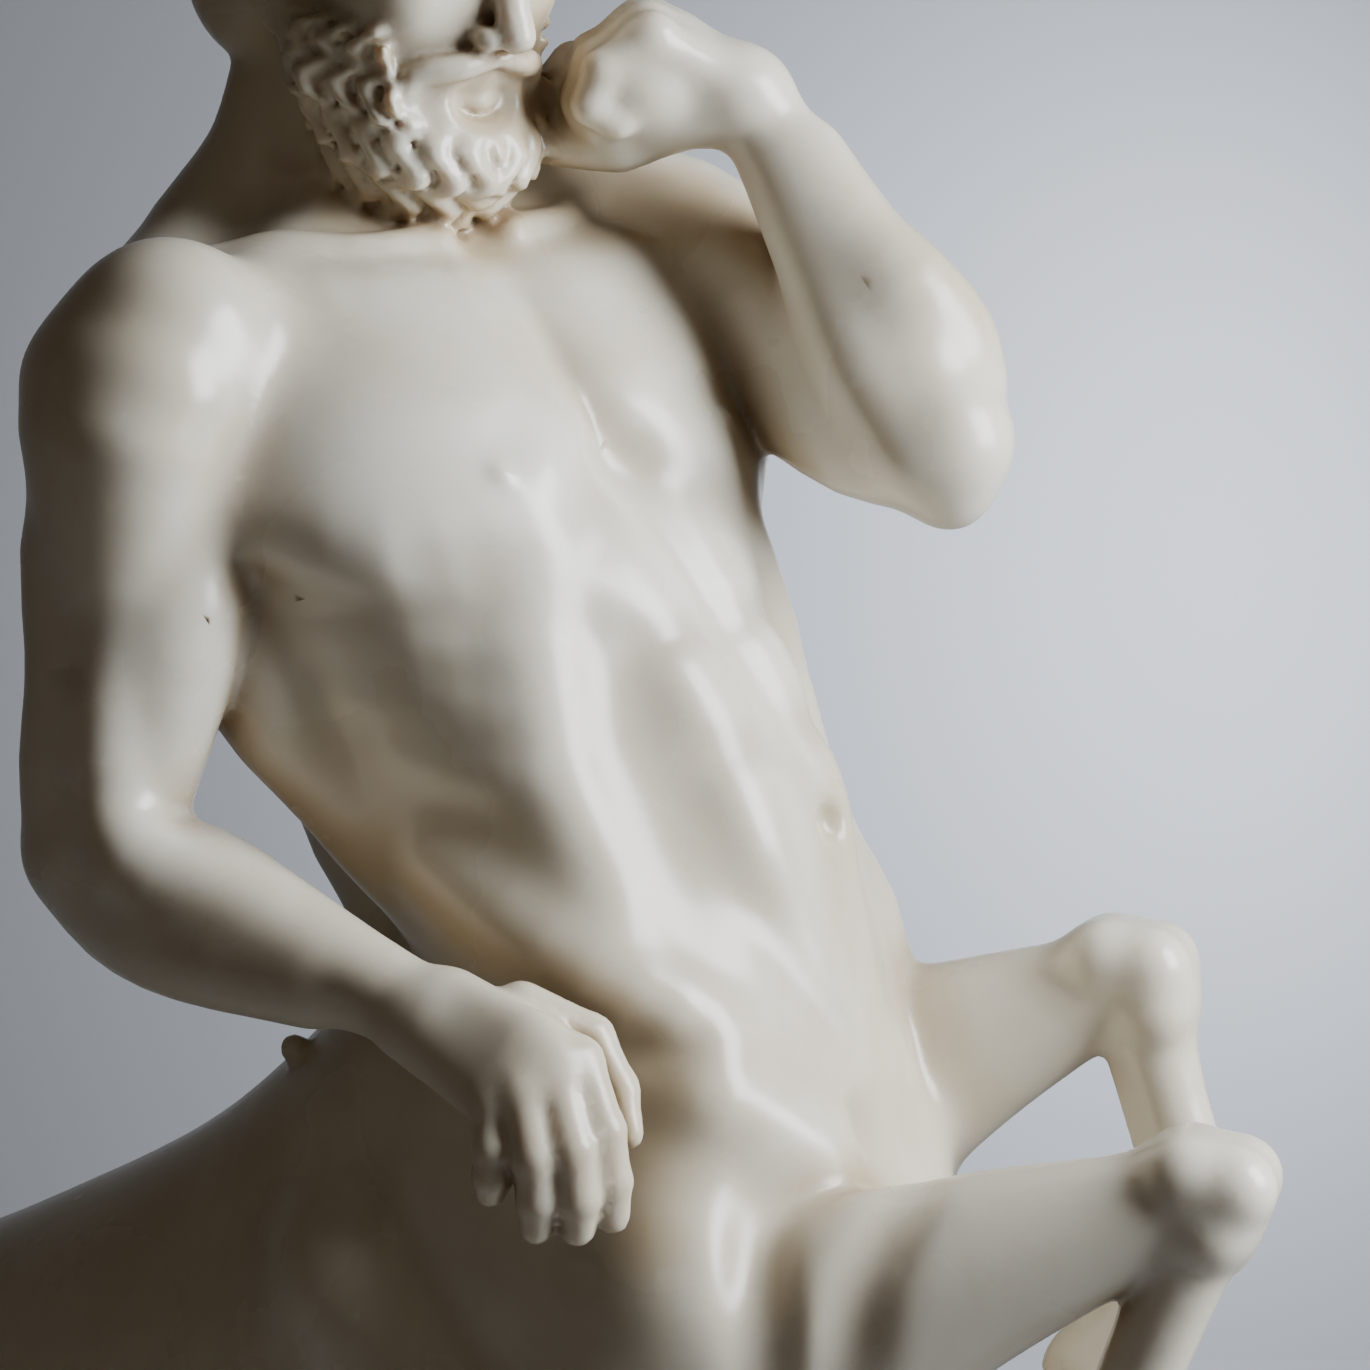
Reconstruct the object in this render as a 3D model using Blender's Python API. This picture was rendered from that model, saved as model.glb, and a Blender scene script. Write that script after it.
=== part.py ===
"""A rearing marble centaur on a low moulded plinth.

The carving is one block of marble. It is worked like clay: bars, eggs and sections are joined softly
into one mass, grooves and ridges are cut into it, and a closed skin is laid over it. The figure is
drawn in life-size centimetres, with its origin in the middle of the waist, +X forward (the way the
horse goes), +Y to the centaur's left and +Z up. STATUE_SCALE turns that into the statue's metres.
"""

import math

import bmesh
import bpy
import numpy as np

# Sizes of the statue
FIGURE_HEIGHT = 1.328        # the statue from the hooves' ground to the man's crown, metres
LIFE_HEIGHT = 166.0          # the same height on a living body, centimetres
STATUE_SCALE = FIGURE_HEIGHT / LIFE_HEIGHT
CELL = 0.65                  # side of the skin's cells at the man's trunk and head, life-size centimetres
WIDE_CELL = 1.15             # the same, at the horse and the ground
FACETS = 9400                # triangles kept in the carving

SLAB_THICKNESS = 0.034       # natural ground carved under the hooves, metres
SLAB_LENGTH = 0.800
SLAB_WIDTH = 0.330
PLINTH_HEIGHT = 0.110        # the separate moulded plinth, metres
PLINTH_MARGIN = 0.050        # the plinth's die beyond the slab, on every side
MOULDING = 0.022             # how far the plinth's foot stands out from its die
FOOT_HEIGHT = 0.026          # the plinth's square foot
ROUND_HEIGHT = 0.014         # the round moulding on the foot
COVE_HEIGHT = 0.014          # the hollow moulding over it
ARRIS = 0.003                # the eased top edge
BED_JOINT = 0.0003           # the mortar line between slab and plinth

GROUND = -104.0              # the hooves' ground below the waist, life-size centimetres
SLAB_MIDDLE = -28.0          # the slab's middle ahead of the waist, life-size centimetres
MARBLE_COLOUR = (0.70, 0.66, 0.59, 1.0)
PLINTH_COLOUR = (0.62, 0.60, 0.56, 1.0)

for old in list(bpy.data.objects):
    bpy.data.objects.remove(old, do_unlink=True)


# Small vector helpers
def vec(*numbers):
    return np.array(numbers, float)


def unit(v):
    return np.asarray(v, float) / np.linalg.norm(v)


def length(rows):
    return np.sqrt(np.einsum("ij,ij->i", rows, rows))


def smooth_path(points, pieces):
    """A smooth line through the points (rows of any width), cut into equal pieces."""
    points = np.asarray(points, float)
    ends = np.vstack([2 * points[0] - points[1], points, 2 * points[-1] - points[-2]])
    rows = []
    for u in np.linspace(0, len(points) - 1, pieces + 1):
        i = min(int(u), len(points) - 2)
        t = u - i
        a, b, c, d = ends[i:i + 4]
        rows.append(0.5 * (2 * b + (c - a) * t + (2 * a - 5 * b + 4 * c - d) * t * t
                           + (3 * b - a - 3 * c + d) * t ** 3))
    return np.array(rows)


# The clay
# A form is (field, centre, reach): field gives the signed distance for rows of places, and centre and
# reach are the ball that holds the form.
def egg(centre, radii, axes=None):
    """An ellipsoid; the rows of axes are its own x, y and z directions."""
    centre, radii = np.asarray(centre, float), np.asarray(radii, float)

    def field(p):
        q = p - centre
        if axes is not None:
            q = q @ np.asarray(axes).T
        q = q / radii
        k = length(q) + 1e-9
        return k * (k - 1) / (length(q / radii) + 1e-9)
    return field, centre, radii.max()


def bar(points, sizes, flat=1.0, across=None, pieces=None):
    """A rounded bar along the points, as thick as sizes; flat thins it along the across direction."""
    rows = np.column_stack([np.asarray(points, float), np.asarray(sizes, float)])
    if len(rows) > 2:
        rows = smooth_path(rows, pieces or 3 * (len(rows) - 1))
    start, along = rows[:-1, :3], np.diff(rows[:, :3], axis=0)
    size, swell = rows[:-1, 3], np.diff(rows[:, 3])
    run = np.maximum(np.einsum("ij,ij->i", along, along), 1e-9)
    start_along, start_start = np.einsum("ij,ij->i", start, along), np.einsum("ij,ij->i", start, start)
    slope = np.clip(swell / np.sqrt(run), -0.9, 0.9)
    lean = slope / np.sqrt((1 - slope ** 2) * run)

    def field(p):
        ahead = (p @ along.T - start_along) / run
        apart = np.einsum("ij,ij->i", p, p)[:, None] - 2 * (p @ start.T) + start_start
        beside = np.maximum(apart - ahead * ahead * run, 0)
        t = np.clip(ahead + lean * np.sqrt(beside), 0, 1)
        apart = beside + (ahead - t) ** 2 * run
        if across is None:
            return (np.sqrt(apart) - size - swell * t).min(1)
        w = (p @ unit(across))[:, None] - start @ unit(across) - t * (along @ unit(across))
        wide = np.sqrt(apart + w * w * (1 / flat ** 2 - 1)) + 1e-9
        return ((wide - size - swell * t) * np.maximum(np.sqrt(apart) / wide, flat)).min(1)
    middle = (rows[:, :3].min(0) + rows[:, :3].max(0)) / 2
    return field, middle, (np.linalg.norm(rows[:, :3] - middle, axis=1) + rows[:, 3]).max()


def nearest(rows):
    """For places p: squared distance to each piece of the line through rows."""
    start, along = rows[:-1, :3], np.diff(rows[:, :3], axis=0)
    run = np.maximum(np.einsum("ij,ij->i", along, along), 1e-9)
    start_along, start_start = np.einsum("ij,ij->i", start, along), np.einsum("ij,ij->i", start, start)

    def to_line(p):
        ahead = p @ along.T - start_along
        t = np.clip(ahead / run, 0, 1)
        apart = np.einsum("ij,ij->i", p, p)[:, None] - 2 * (p @ start.T) + start_start
        return np.maximum(apart - t * (2 * ahead - t * run), 0)
    return to_line


def crease(points, width, height, pieces=None):
    """Relief along a line: a ridge where height is positive, a groove where it is negative."""
    rows = np.asarray(points, float)
    if len(rows) > 2:
        rows = smooth_path(rows, pieces or 4 * (len(rows) - 1))
    to_line = nearest(rows)

    def field(p):
        return -height * np.exp(-to_line(p).min(1) / width ** 2)
    middle = (rows.min(0) + rows.max(0)) / 2
    return field, middle, np.linalg.norm(rows - middle, axis=1).max() + 2.5 * width


def spot(centre, width, height):
    """Relief round one place: a boss where height is positive, a dimple where it is negative."""
    centre = np.asarray(centre, float)

    def field(p):
        v = p - centre
        return -height * np.exp(-np.einsum("ij,ij->i", v, v) / width ** 2)
    return field, centre, 2.5 * width


def everything_below(height):
    """All that lies under a level, for cutting a mass off flat."""
    return (lambda p: p[:, 2] - height), vec(0, 0, 0), 1e3


class Clay:
    """Forms in the order they are worked. Each step is in a space and belongs to a mass."""

    def __init__(self):
        self.steps = []
        self.joins = {}
        self.reach = ()

    def add(self, mass, space, form, soft=1.0):
        self.steps.append(("add", mass, space, form, soft))

    def cut(self, mass, space, form, soft=0.6):
        self.steps.append(("cut", mass, space, form, soft))

    def relief(self, mass, space, form):
        self.steps.append(("relief", mass, space, form, 0.0))

    def depth(self, p, band):
        """Signed distance at the rows of p; forms farther off than the band are left out."""
        if len(self.steps) != len(self.reach):
            self.names = sorted({step[2] for step in self.steps})
            self.centre = np.array([step[3][1] for step in self.steps])
            self.reach = np.array([step[3][2] + step[4] for step in self.steps])
            self.which = np.array([self.names.index(step[2]) for step in self.steps])
        places = [SPACES[name](p) for name in self.names]
        middles = np.array([(q.min(0) + q.max(0)) / 2 for q in places])
        balls = np.array([length(q - middle).max() for q, middle in zip(places, middles)])
        gaps = length(middles[self.which] - self.centre) - balls[self.which] - self.reach
        masses = {}
        for i in np.flatnonzero(gaps < band):
            kind, mass, _, (field, _, _), soft = self.steps[i]
            if kind == "add":
                d = field(places[self.which[i]])
                masses[mass] = soft_join(masses[mass], d, soft) if mass in masses else d
            elif mass in masses and kind == "cut":
                masses[mass] = -soft_join(-masses[mass], field(places[self.which[i]]), soft)
            elif mass in masses:
                masses[mass] = masses[mass] + field(places[self.which[i]])
        whole = None
        for mass, d in masses.items():
            whole = d if whole is None else soft_join(whole, d, self.joins.get(mass, 0.6))
        return np.full(len(p), 1e3) if whole is None else whole


def soft_join(a, b, soft):
    h = np.clip(1 - np.abs(a - b) / soft, 0, None)
    return np.minimum(a, b) - h ** 3 * soft / 6


# Pose: the spine and the spaces
# Stations of the trunk's axis: height along the trunk, place, and the way it faces (degrees, 0 = +X).
SPINE = (
    (-34.0, (8.0, 0.0, -32.0), 0.0),
    (-22.0, (7.0, 0.0, -20.5), 0.0),
    (-12.0, (4.6, 0.3, -11.2), -1.0),
    (0.0, (0.0, 0.0, 0.0), -7.0),
    (12.0, (-5.8, 0.4, 10.8), -14.0),
    (23.5, (-11.2, 1.2, 21.0), -22.0),
    (36.0, (-14.2, 2.6, 33.2), -26.0),
    (48.0, (-14.8, 3.4, 45.2), -27.0),
)
GIRDLE_TILT = 0.12           # the raised left arm lifts its shoulder


def spine_table(step=0.5):
    heights = np.array([s[0] for s in SPINE])
    rows = np.array([[*s[1], math.radians(s[2])] for s in SPINE])
    s = np.arange(heights[0], heights[-1] + step, step)
    place = smooth_path(np.column_stack([heights, rows]), 160)
    place = np.column_stack([np.interp(s, place[:, 0], place[:, k]) for k in range(1, 5)])
    up = np.gradient(place[:, :3], axis=0)
    up /= np.linalg.norm(up, axis=1)[:, None]
    front = np.column_stack([np.cos(place[:, 3]), np.sin(place[:, 3]), np.zeros(len(s))])
    front -= np.einsum("ij,ij->i", front, up)[:, None] * up
    front /= np.linalg.norm(front, axis=1)[:, None]
    side = np.cross(up, front)
    return s, place[:, :3], front, side, up


SPINE_S, SPINE_AT, SPINE_FRONT, SPINE_SIDE, SPINE_UP = spine_table()


def along_spine(table, s):
    u = np.clip((s - SPINE_S[0]) / (SPINE_S[1] - SPINE_S[0]), 0, len(SPINE_S) - 1.001)
    i = u.astype(int)
    t = (u - i)[:, None]
    return table[i] * (1 - t) + table[i + 1] * t


def tilt(y, z):
    return GIRDLE_TILT * y * np.clip((z - 18) / 18, 0, 1)


def to_trunk(p):
    """Places in the figure turned into the straight trunk's own: forward, left, up along the spine."""
    s = p[:, 2] / 0.93
    for _ in range(4):
        s = s + np.einsum("ij,ij->i", p - along_spine(SPINE_AT, s), along_spine(SPINE_UP, s))
    q = p - along_spine(SPINE_AT, s)
    x = np.einsum("ij,ij->i", q, along_spine(SPINE_FRONT, s))
    y = np.einsum("ij,ij->i", q, along_spine(SPINE_SIDE, s))
    return np.column_stack([x, y, s - tilt(y, s)])


def from_trunk(x, y, z):
    """A place given on the straight trunk, as a place in the figure."""
    s = np.array([z + float(tilt(y, z))])
    return (along_spine(SPINE_AT, s) + x * along_spine(SPINE_FRONT, s)
            + y * along_spine(SPINE_SIDE, s))[0]


def mirrored(space, softness=0.5):
    def folded(p):
        q = space(p)
        return np.column_stack([q[:, 0], np.sqrt(q[:, 1] ** 2 + softness ** 2) - softness * 0.5, q[:, 2]])
    return folded


HEAD_CENTRE = vec(-12.9, 0.5, 48.6)
HEAD_YAW, HEAD_BOW, HEAD_LEAN = math.radians(-21), math.radians(15), math.radians(-2)


def head_axes():
    flat = vec(math.cos(HEAD_YAW), math.sin(HEAD_YAW), 0)
    up = vec(0, 0, 1)
    front = flat * math.cos(HEAD_BOW) - up * math.sin(HEAD_BOW)
    crown = flat * math.sin(HEAD_BOW) + up * math.cos(HEAD_BOW)
    side = np.cross(crown, front)
    crown = crown * math.cos(HEAD_LEAN) + side * math.sin(HEAD_LEAN)
    return np.array([front, np.cross(crown, front), crown])


HEAD_AXES = head_axes()


def to_head(p):
    return (p - HEAD_CENTRE) @ HEAD_AXES.T


def from_head(x, y, z):
    return HEAD_CENTRE + vec(x, y, z) @ HEAD_AXES


SPACES = {
    "world": lambda p: p,
    "both sides": mirrored(lambda p: p, 0.8),
    "trunk": to_trunk,
    "trunk, both sides": mirrored(to_trunk, 0.35),
    "head, both sides": mirrored(to_head, 0.12),
    "head": to_head,
}
LEFT, RIGHT = 1, -1


# The man's trunk
# Sections of the trunk: height, half width, depth in front of the axis, depth behind it.
TRUNK = (
    (-36, 12.5, 8.0, 12.0), (-28, 14.5, 10.0, 14.0), (-20, 15.5, 10.0, 12.6), (-13, 15.1, 10.0, 12.6),
    (-6, 14.2, 11.1, 12.2), (0, 13.7, 11.8, 12.2), (6, 14.0, 11.8, 14.4), (12, 15.0, 11.7, 15.2),
    (19, 16.0, 11.8, 14.0), (26, 16.3, 11.0, 13.0), (31, 14.6, 8.6, 12.0), (34.5, 11.0, 5.2, 10.2),
    (38, 6.5, 2.8, 7.6),
)
TRUNK_SQUARENESS = 2.35


def trunk_section(z):
    rows = np.array(TRUNK, float)
    return [np.interp(z, rows[:, 0], rows[:, k]) for k in (1, 2, 3)]


def trunk_core():
    rows = smooth_path(TRUNK, 90)

    def field(q):
        x, y, z = q.T
        half, front, back = (np.interp(z, rows[:, 0], rows[:, k]) for k in (1, 2, 3))
        deep = np.where(x > 0, front, back)
        n = TRUNK_SQUARENESS
        k = ((np.abs(x) / deep) ** n + (np.abs(y) / half) ** n) ** (1 / n) + 1e-6
        out = np.hypot(x, y)
        d = (out - out / k) * 0.9
        return np.maximum(d, np.maximum(z - TRUNK[-1][0], TRUNK[0][0] - z))
    return field, vec(0, 0, 1.5), 44.0


def on_trunk(z, degrees, out=0.0):
    """A place on the trunk's surface: 0 degrees is the front, 90 the side, 180 the spine."""
    half, front, back = trunk_section(z)
    c, s = math.cos(math.radians(degrees)), math.sin(math.radians(degrees))
    deep, n = (front if c > 0 else back), TRUNK_SQUARENESS
    far = ((abs(c) / deep) ** n + (abs(s) / half) ** n) ** (-1 / n) + out
    return vec(far * c, far * s, z)


def trunk_line(rows):
    return [on_trunk(*row) for row in rows]


def model_trunk(clay):
    pair = "trunk, both sides"
    clay.add("trunk", pair, trunk_core())
    # Chest: the fan of each breast muscle with its full lower edge, and the breastbone between them.
    clay.add("trunk", pair, egg((6.9, 7.8, 22.4), (5.4, 9.2, 8.6),
                                [unit((1, 0.32, 0.12)), unit((-0.32, 1, 0)), (0, 0, 1)]), 3.2)
    clay.add("trunk", pair, bar([(9.4, 2.4, 17.4), (9.5, 7.5, 15.2), (6.9, 13.0, 16.2), (2.6, 16.2, 21.2)],
                                (1.5, 2.2, 2.4, 2.2)), 5.0)
    clay.add("trunk", pair, bar([(7.4, 4, 28.0), (5.2, 10, 29.0), (1.6, 16, 27.6)], (2.4, 3.2, 3.4)), 3.6)
    # Broad back muscle from the armpit, and the saw-toothed muscle over the ribs.
    clay.add("trunk", pair, bar(trunk_line([(-2, 128, -3), (8, 118, -1.6), (17, 106, -1.0),
                                            (25, 98, -0.4)]),
                                (2.4, 3.6, 4.2, 3.6)), 3.2)
    for tooth in range(4):
        z = 15.0 - 3.7 * tooth
        clay.add("trunk", pair, bar(trunk_line([(z + 3.0, 88, -1.8), (z, 70, -1.4), (z - 1.6, 58, -1.5)]),
                                    (1.5, 1.4, 0.8)), 2.4)
    # Edge of the ribcage: it arches from the breastbone down and round to the flank.
    clay.add("trunk", pair, bar(trunk_line([(20.5, 5, -1.8), (17, 20, -1.6), (13, 38, -1.6),
                                            (8.5, 48, -1.8), (2.2, 60, -2.2), (-4.0, 66, -2.4)]),
                                (1.2, 1.8, 2.1, 2.2, 2.2, 1.8)), 4.2)
    # Belly: the paired muscles down the middle, the hip's fleshy roll, and the lower belly.
    for z, tall in ((9.6, 4.4), (3.2, 4.0), (-2.4, 3.6)):
        clay.add("trunk", pair, egg(on_trunk(z, 16, -2.9), (3.1, 4.6, tall + 0.4)), 4.2)
    clay.add("trunk", pair, egg(on_trunk(-10, 12, -3.4), (3.5, 4.8, 9.0)), 3.6)
    clay.add("trunk", pair, bar(trunk_line([(1.0, 98, -1.6), (-4.8, 80, -1.3), (-9.4, 64, -1.5),
                                            (-12.0, 52, -2.1)]),
                                (2.5, 2.9, 2.6, 1.6)), 3.2)
    clay.add("trunk", pair, bar(trunk_line([(-14.5, 62, -1.5), (-18.5, 40, -1.6)]), (3.0, 2.6)), 3.4)
    # Back: columns beside the spine, shoulder blades and the slope from neck to shoulder.
    clay.add("trunk", pair, bar(trunk_line([(-8, 166, -1.6), (6, 166, -1.0), (20, 164, -1.8)]),
                                (2.6, 3.0, 2.4)), 2.4)
    clay.add("trunk", pair, egg((-9.6, 9.0, 22.0), (3.2, 5.4, 7.5)), 2.8)
    clay.add("trunk", pair, bar([(-6.6, 3.0, 38.6), (-6.4, 8.4, 35.0), (-4.6, 14.2, 31.9)],
                                (3.4, 4.0, 3.6)), 4.0)
    # Collar bones.
    clay.add("trunk", pair, bar([(6.4, 2.2, 33.0), (5.4, 7.0, 33.4), (1.2, 12.0, 34.0), (-1.6, 16.4, 33.6)],
                                (1.2, 0.9, 0.9, 1.2)), 1.8)
    # Grooves: the midline, the edge of the ribcage, the groin, the spine, and the navel.
    clay.relief("trunk", "trunk", crease([(6.6, 0, 31), (10.4, 0, 24), (11.8, 0, 16.5)], 2.0, -0.5))
    clay.relief("trunk", "trunk", crease(trunk_line([(16, 0, 0.6), (4, 3, 0.6), (-4, 10, 0.5)]), 1.6, -0.5))
    clay.relief("trunk", "trunk", crease(trunk_line([(-4, 10, 0.4), (-14, 6, 0.2)]), 1.5, -0.2))
    clay.relief("trunk", "trunk", crease(trunk_line([(24, 180, 0), (0, 180, 0)]), 1.9, -1.2))
    for z in (6.4, 0.6):
        clay.relief("trunk", pair, crease(trunk_line([(z, 4, 0.4), (z + 0.3, 26, 0.4)]), 1.1, -0.28))
    clay.relief("trunk", pair, crease(trunk_line([(8.0, 39, 0.2), (2.5, 43, 0), (-4, 45, 0)]), 2.8, -0.6))
    clay.relief("trunk", pair, crease(trunk_line([(6, 31, 0.1), (0, 33, 0), (-6, 31, 0), (-13, 21, 0)]),
                                      1.8, -0.45))
    clay.relief("trunk", pair, spot(on_trunk(1.6, 42, 0.3), 3.8, -0.8))
    clay.relief("trunk", pair, crease(trunk_line([(7, 132, 0.4), (1.5, 136, 0), (-3.5, 132, 0)]),
                                      4.2, -1.5))
    clay.relief("trunk", pair, spot(on_trunk(-5.0, 42, 0.3), 3.2, -0.5))
    clay.relief("trunk", pair, crease(trunk_line([(-10.5, 70, 0.6), (-14.2, 56, 0.5), (-15.6, 42, 0.3),
                                                  (-17.2, 24, 0.2), (-18.4, 10, 0)]), 2.2, -0.35))
    clay.relief("trunk", pair, crease([(11.2, 2.0, 15.8), (11.8, 7.8, 12.2), (9.4, 13.8, 13.8)],
                                      2.0, -0.35))
    clay.relief("trunk", "trunk", spot(on_trunk(-4.0, 12, 0.2), 0.62, -1.9))
    clay.relief("trunk", pair, spot((12.6, 8.6, 16.8), 0.6, 0.28))
    clay.relief("trunk", "trunk", spot(on_trunk(-18.2, -20, 0.3), 1.2, -0.7))


# The neck and head
def model_neck(clay):
    base, top = from_trunk(-2.6, -0.5, 32.5), from_head(-2.0, 0, -4.0)
    clay.add("trunk", "world", bar([base, (base + top) / 2, top], (6.8, 5.5, 5.4)), 2.6)
    for side in (LEFT, RIGHT):
        notch = from_trunk(5.4, 1.5 * side, 32.8)
        behind_ear = from_head(-2.8, 5.4 * side, -3.0)
        clay.add("trunk", "world", bar([notch, (notch + behind_ear) / 2 + 0.8 * SPINE_FRONT[-1],
                                        behind_ear],
                                       (0.9, 1.1, 1.7)), 2.2)
        nape = from_head(-4.6, 2.4 * side, -5.0)
        clay.add("trunk", "world", bar([nape, from_trunk(-5.6, 5.4 * side, 35.4)], (2.4, 4.0)), 3.0)
    # The slope from the neck to the raised left shoulder.
    clay.add("trunk", "world", bar([(-12.0, 6.5, 36.0), (-9.0, 11.0, 33.7), (-6.0, 14.6, 32.4)],
                                   (3.0, 3.1, 3.2)), 3.0)
    clay.relief("trunk", "trunk", spot((6.8, 0, 34.2), 1.5, -1.2))


def lock(root, tip, bend, size, hook=0.6):
    """One lock of hair: an S that ends in a small hook. bend is the way it swings out."""
    root, tip, bend = (np.asarray(v, float) for v in (root, tip, bend))
    way = tip - root
    return bar([root, root + way * 0.35 + bend * 0.5, root + way * 0.75 - bend * 0.4,
                tip, tip + bend * hook - way * 0.12], (size * 0.75, size, size * 0.85, size * 0.6,
                                                       size * 0.35),
               pieces=8)


def model_head(clay):
    pair = "head, both sides"

    def add(form, soft=0.8):
        clay.add("head", pair, form, soft)

    add(egg((-1.2, 0, 4.4), (9.4, 7.2, 7.8)))
    add(egg((3.0, 0, -2.4), (6.1, 5.8, 8.6)), 1.8)
    add(bar([(-0.6, 5.2, -4.5), (2.2, 4.9, -7.6), (6.4, 1.6, -10.0)], (1.9, 2.0, 1.9)), 1.8)
    add(egg((3.8, 0, 5.0), (5.0, 6.0, 4.6)), 1.8)
    # Calm brow, cheeks and eyes.
    add(bar([(8.5, 0.6, 1.7), (8.3, 3.2, 2.1), (6.2, 5.6, 1.2)], (0.7, 0.75, 0.8)), 1.4)
    add(egg((5.0, 4.0, -2.4), (3.0, 2.2, 2.6)), 2.2)
    clay.cut("head", pair, egg((9.9, 3.1, 0.1), (2.3, 2.0, 1.2)), 1.2)
    add(egg((6.95, 3.1, 0.1), (1.3, 1.4, 1.25)), 0.3)
    add(bar([(7.6, 1.5, 0.1), (8.35, 2.9, 0.75), (7.2, 4.7, 0.1)], (0.24, 0.32, 0.24)), 0.25)
    add(bar([(7.6, 1.6, -0.1), (8.1, 3.0, -0.6), (7.2, 4.6, 0.0)], (0.2, 0.26, 0.2)), 0.25)
    # Nose.
    add(bar([(8.3, 0, 1.8), (10.3, 0, -2.6)], (0.75, 0.95)), 0.9)
    add(egg((10.6, 0, -3.4), (1.15, 1.0, 0.95)), 0.7)
    add(egg((9.6, 1.2, -3.8), (1.0, 0.65, 0.75)), 0.5)
    # Lips between a thin moustache and the beard.
    add(bar([(8.9, 0, -6.3), (8.1, 2.2, -6.6)], (0.5, 0.28)), 0.5)
    add(bar([(8.8, 0, -7.5), (8.1, 1.9, -7.3)], (0.66, 0.3)), 0.4)
    clay.relief("head", pair, crease([(9.5, 0, -6.95), (8.2, 2.4, -6.95)], 0.35, -0.55))
    add(bar([(9.4, 0.35, -5.0), (9.1, 2.2, -5.4), (7.7, 4.0, -6.2), (7.0, 4.6, -8.6)],
            (0.55, 0.75, 0.7, 0.6)), 0.4)
    model_beard(clay)
    model_hair(clay)
    # Ear.
    add(bar([(0.4, 7.0, 1.3), (-1.1, 7.7, 1.8), (-2.0, 7.8, 0.2), (-1.2, 7.5, -1.6), (-0.1, 7.0, -2.4)],
            (0.4, 0.5, 0.5, 0.45, 0.55)), 0.3)


BEARD_HEART, BEARD_RADII = vec(2.4, 0, -6.3), vec(7.3, 6.6, 7.5)


CURL_FALL, CURL_WIDTH, CURL_RISE = 20.0, 14.0, 1.0     # degrees down, degrees across, centimetres out


def curls(q):
    """Relief of a full beard at rows of places in the head: tiers of S-shaped curls that overlap like
    shingles, each tier half a curl aside from the one over it; the lips and chin's hollow stay bare."""
    way = (q - BEARD_HEART) / BEARD_RADII
    rise = np.degrees(np.arcsin(np.clip(way[:, 2] / (length(way) + 1e-6), -1, 1)))
    turn = np.degrees(np.arctan2(way[:, 1], way[:, 0]))
    tier, down = np.divmod((22 - rise) / CURL_FALL, 1)
    middle = np.radians(22 - CURL_FALL * (tier + 0.5))
    width = CURL_WIDTH / np.clip(np.cos(middle), 0.4, 1)
    wave = 0.36 * np.sin(6.28 * down + 1.7 * tier)
    strand = np.abs(np.sin(np.pi * (turn / width + 0.5 * tier + wave))) ** 0.75
    lift = (0.45 + 0.55 * down) * np.sqrt(np.clip((1.02 - down) / 0.25, 0, 1)) + 0.12
    upper_edge = np.interp(turn, (20, 44, 56), (-17, -10, 20))
    haired = np.clip((upper_edge - rise) / 6, 0, 1) * np.clip((106 - turn) / 12, 0, 1)
    return -CURL_RISE * strand * lift * haired


def model_beard(clay):
    pair = "head, both sides"
    clay.add("head", pair, egg(BEARD_HEART + vec(-0.2, 0, -0.2), BEARD_RADII * 0.93), 0.8)
    clay.add("head", pair, egg((5.0, 0, -10.2), (5.4, 5.4, 4.6)), 2.2)
    clay.cut("head", pair, egg((11.2, 0, -7.4), (3.4, 3.0, 1.5)), 0.8)
    clay.add("head", pair, bar([(8.3, 0, -6.3), (7.8, 2.1, -6.6)], (0.75, 0.45)), 0.5)
    clay.add("head", pair, bar([(8.2, 0, -7.6), (7.7, 1.8, -7.5)], (0.8, 0.45)), 0.4)
    clay.relief("head", pair, (curls, BEARD_HEART, 1.5 * BEARD_RADII.max()))


def model_hair(clay):
    """Wavy locks that fall from the crown, tier below tier, down to the nape."""
    pair = "head, both sides"
    clay.add("head", pair, egg((-5.0, 3.6, -3.4), (5.3, 4.9, 5.9)), 1.2)
    for tier in range(6):
        lift = 78 - 21 * tier
        count = (4, 7, 9, 10, 8, 7)[tier]
        for k in range(count):
            turn = 10 + (172 / (count - 0.4)) * k
            if turn < (0, 0, 48, 76, 88, 98)[tier]:
                continue

            def shell(rise, around, out):
                rise, around = math.radians(rise), math.radians(around)
                return vec(-1.6 + (9.4 + out) * math.cos(rise) * math.cos(around),
                           (7.3 + out) * math.cos(rise) * math.sin(around),
                           3.6 + (8.6 + out + (4.6 if rise < 0 else 0)) * math.sin(rise))
            root, tip = shell(lift, turn, 0.3), shell(lift - 26, turn + 3, 0.4)
            swing = vec(-math.sin(math.radians(turn)), math.cos(math.radians(turn)), 0.0)
            clay.add("head", pair, lock(root, tip, swing * (0.8 if (k + tier) % 2 else -0.8), 0.95), 0.25)


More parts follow.
